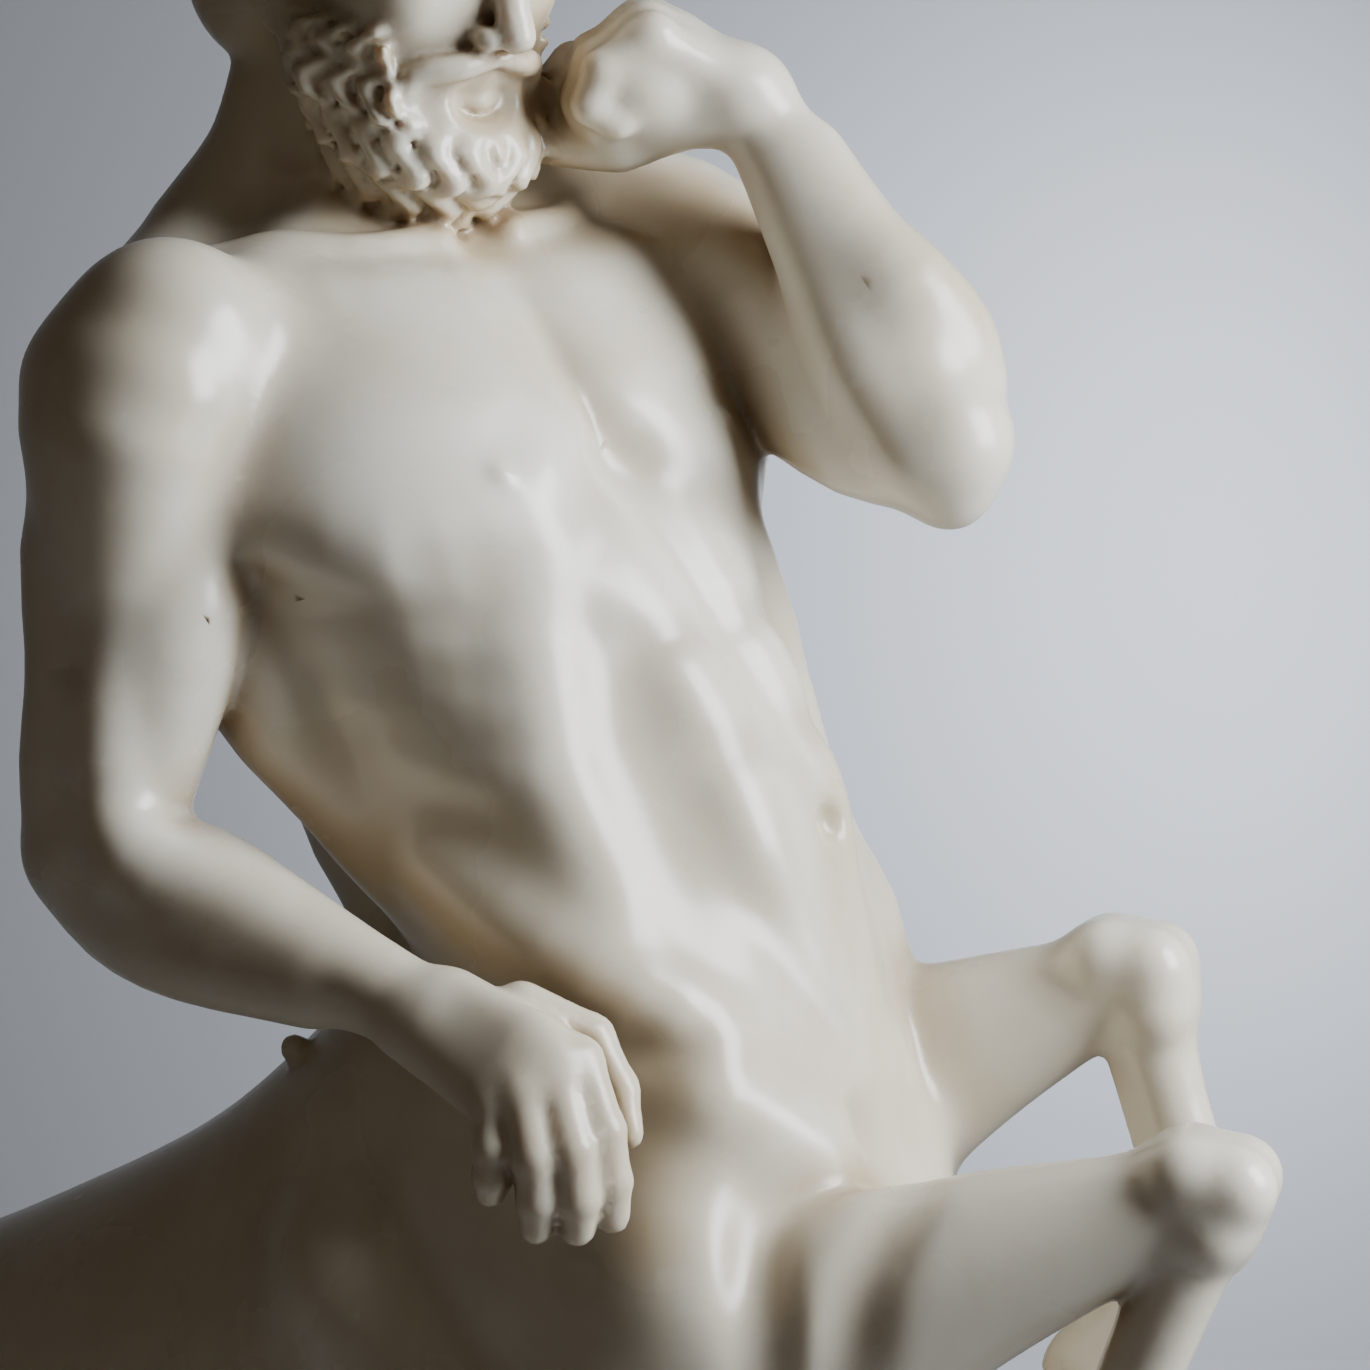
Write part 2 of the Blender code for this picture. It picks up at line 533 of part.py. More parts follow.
# Arms and hands
def model_arm(clay, mass, shoulder, elbow, wrist, outer, tips, cap=1.0):
    """An arm between its joints. outer points away from the body; tips are the three deltoid roots, and
    cap is how full the deltoid is."""
    upper, fore = unit(elbow - shoulder), unit(wrist - elbow)
    fold = unit(fore - (fore @ upper) * upper)          # the side the elbow folds to
    side = np.cross(upper, fold)
    side = side if side @ outer > 0 else -side
    far = np.linalg.norm(elbow - shoulder)

    def at(t, front=0.0, out=0.0):
        return shoulder + upper * far * t + fold * front + side * out

    def add(form, soft=1.4):
        clay.add(mass, "world", form, soft)

    clay.add(mass + " shoulder", "world", bar([shoulder, at(0.36)], (5.2 * cap, 4.4)), 2.0)
    add(bar([shoulder, at(0.5), elbow], (5.0 * cap, 4.4, 3.6)))
    add(bar([at(0.15, 0.8 * cap), at(0.5, 2.0 * cap, -0.3), at(0.74, 1.9), at(0.95, 1.2)],
            (2.6, 3.7 * cap, 3.1, 1.6)), 1.6)
    add(bar([at(0.1, -1.4, 1.4), at(0.42, -2.5, 1.6), at(0.72, -2.0, 1.0), at(0.98, -1.6)],
            (3.2, 3.5, 2.5, 1.8)), 1.6)
    add(bar([at(0.15, -1.6, -1.6), at(0.48, -2.0, -1.9), at(0.8, -1.4, -1.2)], (3.0, 3.0, 2.0)), 1.6)
    add(bar([at(0.5, 0.6, 2.2), at(0.8, 1.0, 2.4), elbow + fore * 2.0], (1.6, 2.3, 2.2)), 1.6)
    for root, belly in zip(tips, ((1.6, 2.6), (-0.4, 3.2), (-2.6, 2.2))):
        clay.add(mass + " shoulder", "world",
                 bar([root, at(0.10, belly[0] * cap, belly[1] * cap),
                      at(0.36, belly[0] * 0.5, belly[1] * 0.9 * cap),
                      at(0.56, 0, 1.8 * cap)],
                     (2.6 * cap, 3.9 * cap, 3.0 * cap, 1.2)), 3.0)
    clay.joins[mass + " shoulder"] = 4.5
    add(egg(elbow - fold * 1.6 - fore * 1.4, (2.2, 2.2, 2.2)), 2.0)
    for out in (-2.6, 2.5):
        add(egg(elbow + side * out - upper * 0.6, (1.6, 1.6, 1.9)), 2.2)

    # Forearm, from the elbow's bony corners to the flat wrist.
    reach = np.linalg.norm(wrist - elbow)
    back = unit(-upper + (upper @ fore) * fore) * -1.0

    def down(t, front=0.0, out=0.0):
        return elbow + fore * reach * t - back * front + side * out

    add(bar([elbow, down(0.35), down(0.75), wrist], (3.6, 3.5, 2.6, 2.15)))
    add(bar([at(0.84, 0.6, 2.4), down(0.16, 0.9, 2.3), down(0.42, 0.6, 1.5), down(0.85, 0.2, 1.0)],
            (1.5, 2.7, 2.4, 1.2)), 1.5)
    add(bar([elbow - side * 2.4, down(0.22, 0.4, -2.0), down(0.5, 0.3, -1.3), down(0.9, 0, -0.8)],
            (1.7, 2.8, 2.3, 1.2)), 1.5)
    add(bar([elbow - fold * 1.0, down(0.3, -1.6, 0.4), down(0.65, -0.9, 0.3), down(0.95, -0.5, 0.4)],
            (1.8, 2.4, 1.7, 1.1)), 1.5)


def model_hand(clay, mass, wrist, palm_way, fingers, thumb, melt=0.5):
    """A hand: each finger is a row of joints from its knuckle to its tip; palm_way points out of the palm."""
    sizes = ((1.26, 1.18, 1.10, 0.92), (1.26, 1.18, 1.10, 0.92), (1.22, 1.15, 1.06, 0.88),
             (1.12, 1.04, 0.98, 0.84))
    knuckles = [np.asarray(f[0], float) for f in fingers]
    middle = sum(knuckles) / 4
    across = unit(knuckles[0] - knuckles[3])
    for k, (joints, size) in enumerate(zip(fingers, sizes)):
        joints = [np.asarray(j, float) for j in joints]
        root = wrist + across * (1.3 - 0.85 * k)
        clay.add(mass, "world", bar([root, joints[0]], (1.7, 1.3), 0.85, palm_way), 1.6)
        name = f"{mass} finger {k}"
        clay.joins[name] = melt
        for i in range(len(joints) - 1):
            clay.add(name, "world", bar([joints[i], joints[i + 1]], (size[i], size[i + 1])), 0.35)
        for i in range(1, len(joints) - 1):
            clay.add(name, "world", egg(joints[i], (size[i] * 1.01,) * 3), 0.4)
        clay.add(mass, "world", egg(joints[0] - unit(palm_way) * 0.2, (1.12, 1.12, 1.12)), 0.8)
    clay.add(mass, "world", bar([wrist * 0.8 + middle * 0.2, wrist * 0.2 + middle * 0.8], (2.6, 3.2),
                                0.56, palm_way), 1.6)
    thumb = [np.asarray(j, float) for j in thumb]
    for a, b, size in zip(thumb[:-1], thumb[1:], ((1.5, 1.25), (1.2, 1.08), (1.05, 0.78))):
        clay.add(mass, "world", bar([a, b], size), 0.6)


def model_arms(clay):
    # Right arm: hangs back, bent, with the hand resting on the hip.
    shoulder, elbow, wrist = vec(-17.8, -16.2, 27.0), vec(-20.3, -18.3, -0.2), vec(0.2, -21.4, -6.4)
    roots = [from_trunk(2.4, -10.5, 31.8), from_trunk(-2.0, -15.5, 32.8), from_trunk(-7.6, -13.0, 31.0)]
    model_arm(clay, "right arm", shoulder, elbow, wrist, vec(-0.2, -1, 0.1), roots)
    clay.add("right arm", "world", bar([(-21.4, -19.0, 11.0), (-21.9, -19.1, 5.0), (-22.1, -18.5, 0.2)],
                                       (2.6, 3.0, 2.8)), 1.8)
    clay.add("right arm", "world", bar([(-21.4, -18.7, -0.4), (-18.6, -19.4, -2.7), (-14.0, -20.8, -3.9),
                                        (-7.0, -21.2, -5.2)], (3.0, 3.2, 3.1, 2.4)), 1.8)
    fingers = [[(8.3, -20.9, -8.2), (10.0, -21.7, -11.4), (10.3, -21.4, -14.0), (10.2, -21.0, -15.9)],
               [(7.6, -22.3, -8.8), (9.1, -23.3, -12.1), (9.3, -23.0, -14.6), (8.9, -22.3, -16.4)],
               [(6.4, -23.5, -9.4), (7.5, -24.3, -12.5), (7.5, -23.9, -14.7), (7.1, -23.3, -16.3)],
               [(4.9, -23.8, -10.0), (5.3, -24.5, -12.2), (5.2, -24.4, -13.6), (4.9, -24.0, -14.5)]]
    thumb = [(4.4, -19.6, -6.1), (7.5, -17.9, -7.6), (9.1, -18.0, -10.1), (10.0, -18.6, -12.2)]
    model_hand(clay, "right arm", wrist, vec(-0.1, 1, -0.15), fingers, thumb)

    # Left arm: upper arm forward, forearm folded up, loosely closed fist beside the beard.
    shoulder, elbow, wrist = vec(-5.6, 15.0, 31.7), vec(16.2, 7.6, 21.0), vec(4.0, 9.0, 39.4)
    roots = [from_trunk(2.6, 10.0, 31.5), from_trunk(-1.4, 14.6, 32.0), from_trunk(-6.6, 13.0, 30.5)]
    model_arm(clay, "left arm", shoulder, elbow, wrist, vec(0.2, 1, 0.3), roots, cap=0.74)
    clay.add("left arm", "world", bar([(16.0, 9.9, 24.2), (15.2, 9.5, 26.4), (13.5, 8.3, 28.8),
                                       (10.9, 8.5, 31.6),
                                       (7.8, 9.2, 35.9)], (2.7, 3.0, 3.0, 2.3, 1.8)), 1.8)
    clay.add("left arm", "world", bar([(5.0, 10.6, 23.2), (11.2, 8.0, 20.9), (15.5, 7.8, 19.8)],
                                      (3.0, 3.2, 2.6)), 1.8)
    fingers = [[(-2.6, 9.4, 42.6), (-4.5, 8.1, 41.2), (-5.7, 7.2, 40.9), (-6.3, 6.6, 40.2)],
               [(-1.5, 7.5, 43.0), (-3.8, 6.0, 41.4), (-4.5, 5.3, 39.5), (-3.3, 5.7, 38.3)],
               [(-0.4, 5.5, 42.8), (-2.6, 3.8, 41.1), (-3.2, 3.4, 39.0), (-2.1, 4.3, 38.0)],
               [(0.8, 3.6, 42.4), (-1.3, 1.8, 40.7), (-1.9, 1.6, 38.8), (-0.8, 2.6, 37.8)]]
    thumb = [(1.1, 9.8, 38.0), (-1.3, 7.3, 36.9), (-3.6, 5.4, 36.9), (-5.6, 4.6, 37.3)]
    model_hand(clay, "left arm", wrist, vec(-0.3, 0.1, -1), fingers, thumb, melt=1.4)
    clay.add("left arm", "world", egg((-0.6, 5.7, 39.8), (3.3, 3.9, 2.9)), 1.8)
    clay.add("left arm", "world", bar([(3.7, 8.0, 39.2), (-0.1, 6.6, 38.7)], (2.8, 2.4)), 1.6)
    clay.add("left arm", "world", bar([(-3.9, 6.9, 40.5), (-2.0, 3.5, 39.9)], (1.5, 1.5)), 1.0)
    clay.add("left arm", "world", egg((-2.3, 5.1, 38.4), (2.1, 2.6, 2.2)), 1.2)
    clay.add("left arm", "world", bar([(-2.6, 6.4, 36.9), (-5.4, 5.2, 37.0)], (1.9, 1.7)), 1.2)
    clay.add("left arm", "world", bar([(-5.6, 6.2, 40.0), (-5.6, 5.4, 38.2)], (1.1, 1.3)), 0.8)
    clay.cut("left arm", "world", bar([(0.4, -0.6, 37.8), (-2.9, 5.6, 37.8)], (0.55, 0.5)), 0.2)


# The horse
def model_horse(clay):
    def add(form, soft=2.0, space="world"):
        clay.add("horse", space, form, soft)

    add(bar([(4.5, 0, -24), (-6, 0, -28.5), (-20, 0, -35), (-36, 0, -42), (-50, 0, -46.5), (-61, 0, -50)],
            (13.2, 15.4, 16.5, 16.3, 15.9, 13.6), 0.92, (0, 1, 0)))
    add(bar([(-6, 0, -18), (-20, 0, -27.2), (-34, 0, -35.6)], (12.0, 9.2, 7.2)), 4.0)
    # Haunches, flanks and the shoulders' flat muscle.
    pair = "both sides"
    add(bar([(-46, 6.5, -42), (-56, 7.5, -49), (-62, 7.0, -56)], (9.0, 11.0, 8.5)), 5.0, pair)
    add(bar([(-2, 8.0, -18), (5.5, 9.8, -24), (9.5, 9.0, -29)], (6.0, 6.6, 5.6)), 3.0, pair)
    add(bar([(-9, 9.0, -24), (0, 11.0, -32)], (6.4, 5.6)), 3.5, pair)
    add(bar([(11.5, 3.4, -14), (13.2, 4.0, -22), (11.6, 4.2, -31)], (2.6, 3.9, 3.6)), 2.2, pair)
    for rib in range(7):
        x = -12.0 - 4.2 * rib
        z = -31.0 + 0.47 * (x + 12)
        clay.relief("horse", pair, crease([(x + 2.5, 10.5, z + 9), (x, 15.8, z - 1),
                                           (x + 0.5, 13.0, z - 11)],
                                          1.3, 0.35))
    add(egg((9.2, 12.4, -22.4), (5.6, 4.6, 5.8)), 3.0, pair)
    near = dict(elbow=vec(13.0, -9.6, -25.0), knee=vec(36.4, -4.6, -15.4), fetlock=vec(30.2, -5.4, -33.0),
                toe=vec(23.6, -6.4, -36.0))
    far = dict(elbow=vec(6.0, 9.2, -18.0), knee=vec(25.6, 12.4, -8.0), fetlock=vec(30.0, 12.7, -22.0),
               toe=vec(24.4, 11.8, -30.6))
    for mass, leg in (("right foreleg", near), ("left foreleg", far)):
        model_foreleg(clay, mass, **leg)
        clay.joins[mass] = 2.0
    # Folds where the breast meets the shoulder, and where the raised forearm leaves the breast.
    folds = (((14.6, 11.5, -13.4), (14.4, 11.9, -16.1), (14.8, 13.3, -18.9), (16.1, 15.2, -22.5),
              (16.6, 15.4, -28)),
            ((21.6, 8.4, -15.4), (21.0, 11.9, -18.0), (20.6, 13.4, -20.8), (20.1, 13.6, -25.4),
             (18.6, 13.0, -30)))
    for fold, deep in zip(folds, (-1.6, -1.2)):
        clay.relief("horse", pair, crease(fold, 1.5, deep))
        clay.relief("right foreleg", pair, crease(fold, 1.5, deep))
    for side in (RIGHT, LEFT):
        step = 2.5 * side
        model_hind_leg(clay, "hind legs", stifle=vec(-47 + step, 10.5 * side, -70),
                       hock=vec(-63 + step, 9.6 * side, -85), fetlock=vec(-56.5 + step, 9.6 * side, -98.2),
                       toe=vec(-50.5 + step, 9.6 * side, -104.0), hip=vec(-57, 8 * side, -55))
    clay.joins["hind legs"] = 3.0
    # Tail, from the croup to the ground behind the hooves, in three twisted strands.
    for strand in range(3):
        turn = 2.1 * strand
        rows = [(-70 - 0.08 * k * (6 - k) * 4, 1.6 * math.sin(turn + 0.9 * k),
                 -50 - 9.0 * k) for k in range(7)]
        rows = [vec(x + 1.2 * math.cos(turn + 0.9 * k), y, max(z, GROUND + 1)) for k,
                (x, y, z) in enumerate(rows)]
        clay.add("tail", "world", bar([vec(-63, 0, -46)] + rows, (2.4, 2.7, 3.0, 3.1, 3.0, 2.7, 2.3, 1.8)),
                 0.8)
    clay.joins["tail"] = 1.6
    # Stump left on the back, behind the elbow.
    clay.add("stub", "world", bar([(-14.2, -4.6, -15.4), (-16.6, -5.4, -12.6)], (1.15, 0.8)), 0.5)
    clay.joins["stub"] = 0.8


def model_hoof(clay, mass, fetlock, toe):
    """Pastern and hoof: the hoof flares from its crown to a flat sole."""
    way = unit(toe - fetlock)
    crown = fetlock * 0.35 + toe * 0.65
    clay.add(mass, "world", egg(fetlock, (2.7, 2.5, 2.7)), 1.2)
    clay.add(mass, "world", bar([fetlock, crown], (2.2, 2.3)), 1.2)
    clay.add(mass, "world", bar([crown - way * 0.3, toe], (2.7, 3.5)), 0.5)
    clay.cut(mass, "world", egg(toe + way * 9.6, (8.6, 8.6, 8.6)), 0.3)


def model_foreleg(clay, mass, elbow, knee, fetlock, toe):
    way, shin = unit(knee - elbow), unit(fetlock - knee)
    front = unit(-shin + (shin @ way) * way)            # the upper side of the raised forearm
    out = np.cross(way, front)

    def at(t, lift=0.0, side=0.0):
        return elbow + (knee - elbow) * t + front * lift + out * side

    def add(form, soft=1.6):
        clay.add(mass, "world", form, soft)

    add(bar([at(-0.25), at(0.1), at(0.45, 0.2), at(0.8), at(0.97)], (7.0, 6.2, 4.9, 3.4, 3.0), pieces=24))
    add(bar([at(-0.1, 1.8), at(0.3, 1.9), at(0.72, 1.0)], (4.0, 3.3, 1.9)), 2.0)
    add(bar([at(-0.1, -2.8), at(0.28, -2.5), at(0.68, -1.3)], (5.0, 3.6, 1.7)), 2.0)
    # The knee is a squarish block of small bones.
    add(bar([at(0.93, 0.3), knee + shin * 1.6 + way * 0.3], (2.9, 2.8), 0.9, out), 1.2)
    for side in (-1.5, 1.5):
        add(egg(knee + front * 1.4 - way * 0.9 + out * side, (2.0, 2.0, 2.0)), 1.8)
        add(egg(knee + way * 1.3 - front * 0.1 + out * side * 0.9, (2.1, 2.1, 2.1)), 1.8)
        add(egg(knee + shin * 2.4 + way * 0.8 + out * side, (1.8, 1.8, 1.8)), 1.8)
    add(egg(knee - way * 1.9 + shin * 1.6, (1.7, 1.7, 1.9)), 1.2)
    add(bar([knee + shin * 1.5, knee * 0.5 + fetlock * 0.5, fetlock], (2.6, 2.0, 2.1)), 1.4)
    add(bar([knee + shin * 2.5 - way * 1.7, fetlock - way * 1.5], (1.1, 1.2)), 0.6)
    model_hoof(clay, mass, fetlock, toe)


def model_hind_leg(clay, mass, hip, stifle, hock, fetlock, toe):
    def add(form, soft=2.0):
        clay.add(mass, "world", form, soft)

    add(bar([hip, hip * 0.5 + stifle * 0.5 + vec(1, 0, 0), stifle], (12.0, 10.4, 7.0)), 3.0)
    add(bar([hip + vec(-5, 0, -3), stifle + vec(-9, 0, -2), hock * 0.6 + stifle * 0.4], (9.0, 7.2, 3.6)),
        3.0)
    add(bar([stifle, stifle * 0.5 + hock * 0.5, hock], (6.8, 5.6, 3.7)))
    add(bar([hock + vec(-2.2, 0, 2.4), hock + vec(-0.4, 0, -1.6)], (1.9, 2.6)), 1.2)
    add(bar([stifle * 0.3 + hock * 0.7 + vec(-3.4, 0, 2.2), hock + vec(-2.4, 0, 2.6)], (1.2, 1.5)), 1.4)
    add(bar([hock, hock * 0.5 + fetlock * 0.5, fetlock], (3.4, 2.7, 2.6)), 1.4)
    model_hoof(clay, mass, fetlock, toe)


# The stump and the ground
def model_support(clay):
    """A lopped tree stump under the belly, and an uneven slab of ground."""
    foot, top = vec(-17, 0, GROUND - 1), vec(-21, 0, -48)
    clay.add("stump", "world", bar([foot, foot * 0.5 + top * 0.5 + vec(1.5, 0.8, 0), top],
                                   (8.4, 6.4, 6.2)), 1.0)
    for k in range(5):
        turn = 1.26 * k + 0.4
        way = vec(math.cos(turn), math.sin(turn), 0)
        clay.add("stump", "world", bar([foot + way * 11, foot + way * 6.5 + vec(0, 0, 6),
                                        foot + way * 4.4 + vec(0, 0, 18)], (1.8, 2.6, 1.4)), 2.4)
    for height, turn in ((22, -1.2), (34, 1.9)):
        way = vec(math.cos(turn), math.sin(turn), 0.5)
        knot = foot + vec(1, 0, height)
        clay.add("stump", "world", bar([knot + way * 3, knot + way * 8.5], (2.9, 2.3)), 1.4)
    clay.joins["stump"] = 2.5
    for mass in ("stump", "tail", "hind legs"):
        clay.cut(mass, "world", everything_below(GROUND - 2.0), 0.3)

    half = vec(SLAB_LENGTH, SLAB_WIDTH, SLAB_THICKNESS) / STATUE_SCALE / 2
    middle = vec(SLAB_MIDDLE, 0, GROUND - half[2])
    corner = 3.0

    def slab(p):
        q = np.abs(p - middle) - half + vec(corner, corner, 0.8)
        round_off = length(np.maximum(q, 0)) + np.minimum(q.max(1), 0) - 0.8
        swell = 0.5 * np.sin(p[:, 0] * 0.31) * np.cos(p[:, 1] * 0.4)
        return round_off - np.where(p[:, 2] > middle[2], swell, 0)
    clay.add("ground", "world", (slab, middle, np.linalg.norm(half)), 0.6)
    clay.joins["ground"] = 1.8


# A closed skin round the clay
def sample(clay, axes, block=8):
    """The clay's depth on the grid of the three axes, worked out only near the surface."""
    count = [len(axis) // block for axis in axes]
    grid = np.empty([n * block for n in count])
    for i in range(count[0]):
        for j in range(count[1]):
            column, spans = [], []
            for k in range(count[2]):
                span = [axis[n * block:n * block + block] for axis, n in zip(axes, (i, j, k))]
                spans.append(span)
                column.append([(s[0] + s[-1]) / 2 for s in span])
            size = np.array([[s[-1] - s[0] for s in span] for span in spans])
            ball = np.linalg.norm(size, axis=1) / 2 + size.max(1) / (block - 1)
            coarse = clay.depth(np.array(column), 2.2 * ball.max() + 4)
            for k, span in enumerate(spans):
                at = tuple(slice(n * block, n * block + block) for n in (i, j, k))
                if abs(coarse[k]) > 1.25 * ball[k] + 1.5:
                    grid[at] = coarse[k]
                    continue
                p = np.stack(np.meshgrid(*span, indexing="ij"), -1).reshape(-1, 3)
                grid[at] = clay.depth(p, 3 * (span[0][1] - span[0][0])).reshape(block, block, block)
    return grid


def settle(inside):
    """Flips the few grid corners that would make the skin touch itself."""
    for _ in range(12):
        changed = False
        for axis in range(3):
            s = np.moveaxis(inside, axis, 0)
            a, b, c, d = s[:, :-1, :-1], s[:, 1:, :-1], s[:, :-1, 1:], s[:, 1:, 1:]
            bad = (a == d) & (b == c) & (a != b)
            if bad.any():
                changed = True
                k, i, j = np.nonzero(bad)
                s[k, i, j] = True
                s[k, i + 1, j] = True
                s[k, i, j + 1] = True
                s[k, i + 1, j + 1] = True
        n = np.array(inside.shape) - 1
        corner = {(i, j, k): inside[i:n[0] + i, j:n[1] + j, k:n[2] + k]
                  for i in (0, 1) for j in (0, 1) for k in (0, 1)}
        total = sum(part.astype(np.int8) for part in corner.values())
        for i, j in ((0, 0), (0, 1), (1, 0), (1, 1)):
            a, b = corner[i, j, 0], corner[1 - i, 1 - j, 1]
            bad = (a == b) & (total == np.where(a, 2, 6))
            if bad.any():
                changed = True
                for part in corner.values():
                    part[bad] = True
        if not changed:
            break
    return inside


def skin(grid, axes):
    """One vertex in each cell that the surface passes, joined into quads facing out."""
    inside = settle(grid < 0)
    value = np.where(inside, np.minimum(grid, -1e-3), np.maximum(grid, 1e-3))
    n = np.array(grid.shape) - 1
    total = np.zeros(n, np.int8)
    for dx in (0, 1):
        for dy in (0, 1):
            for dz in (0, 1):
                total += inside[dx:n[0] + dx, dy:n[1] + dy, dz:n[2] + dz]
    cells = np.argwhere((total > 0) & (total < 8))
    number = np.full(n, -1, np.int32)
    number[tuple(cells.T)] = np.arange(len(cells))
    sums, hits = np.zeros((len(cells), 3)), np.zeros(len(cells))
    for axis in range(3):
        step = np.eye(3, dtype=int)[axis]
        others = [k for k in range(3) if k != axis]
        for u in (0, 1):
            for v in (0, 1):
                corner = cells.copy()
                corner[:, others[0]] += u
                corner[:, others[1]] += v
                a, b = value[tuple(corner.T)], value[tuple((corner + step).T)]
                cross = (a < 0) != (b < 0)
                t = np.clip(a / np.where(cross, a - b, 1), 0.02, 0.98)
                sums += np.where(cross[:, None], corner + t[:, None] * step, 0)
                hits += cross
    sums /= hits[:, None]
    points = np.column_stack([np.interp(sums[:, k], np.arange(len(axes[k])), axes[k]) for k in range(3)])
    quads = []
    for axis in range(3):
        step = np.eye(3, dtype=int)[axis]
        u, v = np.eye(3, dtype=int)[(axis + 1) % 3], np.eye(3, dtype=int)[(axis + 2) % 3]
        a = inside[tuple(slice(1, -1) if k != axis else slice(0, -1) for k in range(3))]
        b = inside[tuple(slice(1, -1) if k != axis else slice(1, None) for k in range(3))]
        edge = np.argwhere(a != b) + (1 - step)
        ring = [number[tuple((edge - du * u - dv * v).T)] for du, dv in ((0, 0), (1, 0), (1, 1), (0, 1))]
        ring = np.column_stack(ring)
        leaving = inside[tuple(edge.T)]
        ring[~leaving] = ring[~leaving][:, ::-1]
        quads.append(ring)
    return points, np.vstack(quads)


def mesh_object(name, points, faces, colour, roughness):
    mesh = bpy.data.meshes.new(name)
    mesh.from_pydata([tuple(p) for p in points], [], [tuple(int(i) for i in f) for f in faces])
    mesh.update()
    thing = bpy.data.objects.new(name, mesh)
    bpy.context.scene.collection.objects.link(thing)
    finish = bpy.data.materials.new(name)
    finish.use_nodes = True
    surface = finish.node_tree.nodes["Principled BSDF"]
    surface.inputs["Base Color"].default_value = colour
    surface.inputs["Roughness"].default_value = roughness
    surface.inputs["Metallic"].default_value = 0.0
    mesh.materials.append(finish)
    return thing


def to_statue(points):
    """Life-size centimetres about the waist turned into metres above the plinth's underside."""
    lift = vec(-SLAB_MIDDLE, 0, -GROUND) * STATUE_SCALE + vec(0, 0,
                                                              PLINTH_HEIGHT + BED_JOINT + SLAB_THICKNESS)
    return np.asarray(points) * STATUE_SCALE + lift


def work_clay():
    clay = Clay()
    model_trunk(clay)
    model_neck(clay)
    model_head(clay)
    model_arms(clay)
    model_horse(clay)
    model_support(clay)
    clay.joins.update({"head": 1.0, "right arm": 1.3, "left arm": 1.3, "horse": 6.0})
    return clay


def uneven_axis(low, high, fine_from, fine_to, fine, coarse, block=8):
    """Grid lines that stand closer between fine_from and fine_to, in whole blocks."""
    lines = [low]
    while lines[-1] < high or len(lines) % block:
        off = max(fine_from - lines[-1], lines[-1] - fine_to, 0.0)
        lines.append(lines[-1] + fine + (coarse - fine) * min(off / 8.0, 1.0))
    return np.array(lines)


def build_centaur():
    floor = GROUND - SLAB_THICKNESS / STATUE_SCALE - 3
    axes = [uneven_axis(-84, 46, -26, 14, CELL, WIDE_CELL), uneven_axis(-30, 30, -27, 22, CELL, WIDE_CELL),
            uneven_axis(floor, 66, -20, 62, CELL, WIDE_CELL)]
    points, quads = skin(sample(work_clay(), axes), axes)
    figure = mesh_object("centaur", to_statue(points), quads, MARBLE_COLOUR, 0.35)
    shrink = figure.modifiers.new("facets", "DECIMATE")
    shrink.ratio = FACETS / (2 * len(quads))
    shrink.use_collapse_triangulate = True
    bpy.context.view_layer.update()
    done = bpy.data.meshes.new_from_object(figure.evaluated_get(bpy.context.evaluated_depsgraph_get()))
    figure.modifiers.clear()
    figure.data = done
    done.name = "centaur"
    return figure


# The plinth
def build_plinth():
    """A rectangular block with a plain foot, a hollow-and-round moulding and a flat die."""
    fillet = FOOT_HEIGHT + ROUND_HEIGHT + 0.004
    quarter = np.linspace(0, math.pi / 2, 5)
    rows = [(MOULDING, 0.0), (MOULDING, FOOT_HEIGHT)]
    rows += [(MOULDING * (1 - 0.455 * (1 - math.cos(a))), FOOT_HEIGHT + ROUND_HEIGHT * math.sin(a))
             for a in quarter[1:]]
    rows += [(MOULDING * (0.182 + 0.363 * math.cos(a)),
              fillet + COVE_HEIGHT * math.sin(a)) for a in quarter]
    rows += [(0.0, fillet + COVE_HEIGHT + 0.002), (0.0, PLINTH_HEIGHT - ARRIS), (-ARRIS, PLINTH_HEIGHT)]
    half_x, half_y = SLAB_LENGTH / 2 + PLINTH_MARGIN, SLAB_WIDTH / 2 + PLINTH_MARGIN
    points, faces = [], []
    for out, z in rows:
        x, y = half_x + out, half_y + out
        points += [(-x, -y, z), (x, -y, z), (x, y, z), (-x, y, z)]
    for i in range(len(rows) - 1):
        for k in range(4):
            a, b = 4 * i + k, 4 * i + (k + 1) % 4
            faces.append((a, b, b + 4, a + 4))
    faces.append((3, 2, 1, 0))
    top = 4 * (len(rows) - 1)
    faces.append((top, top + 1, top + 2, top + 3))
    return mesh_object("plinth", points, faces, PLINTH_COLOUR, 0.45)


if __name__ == "__main__":
    build_centaur()
    build_plinth()
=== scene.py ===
import math

import bmesh
import bpy
import numpy as np
from mathutils import Matrix, Vector


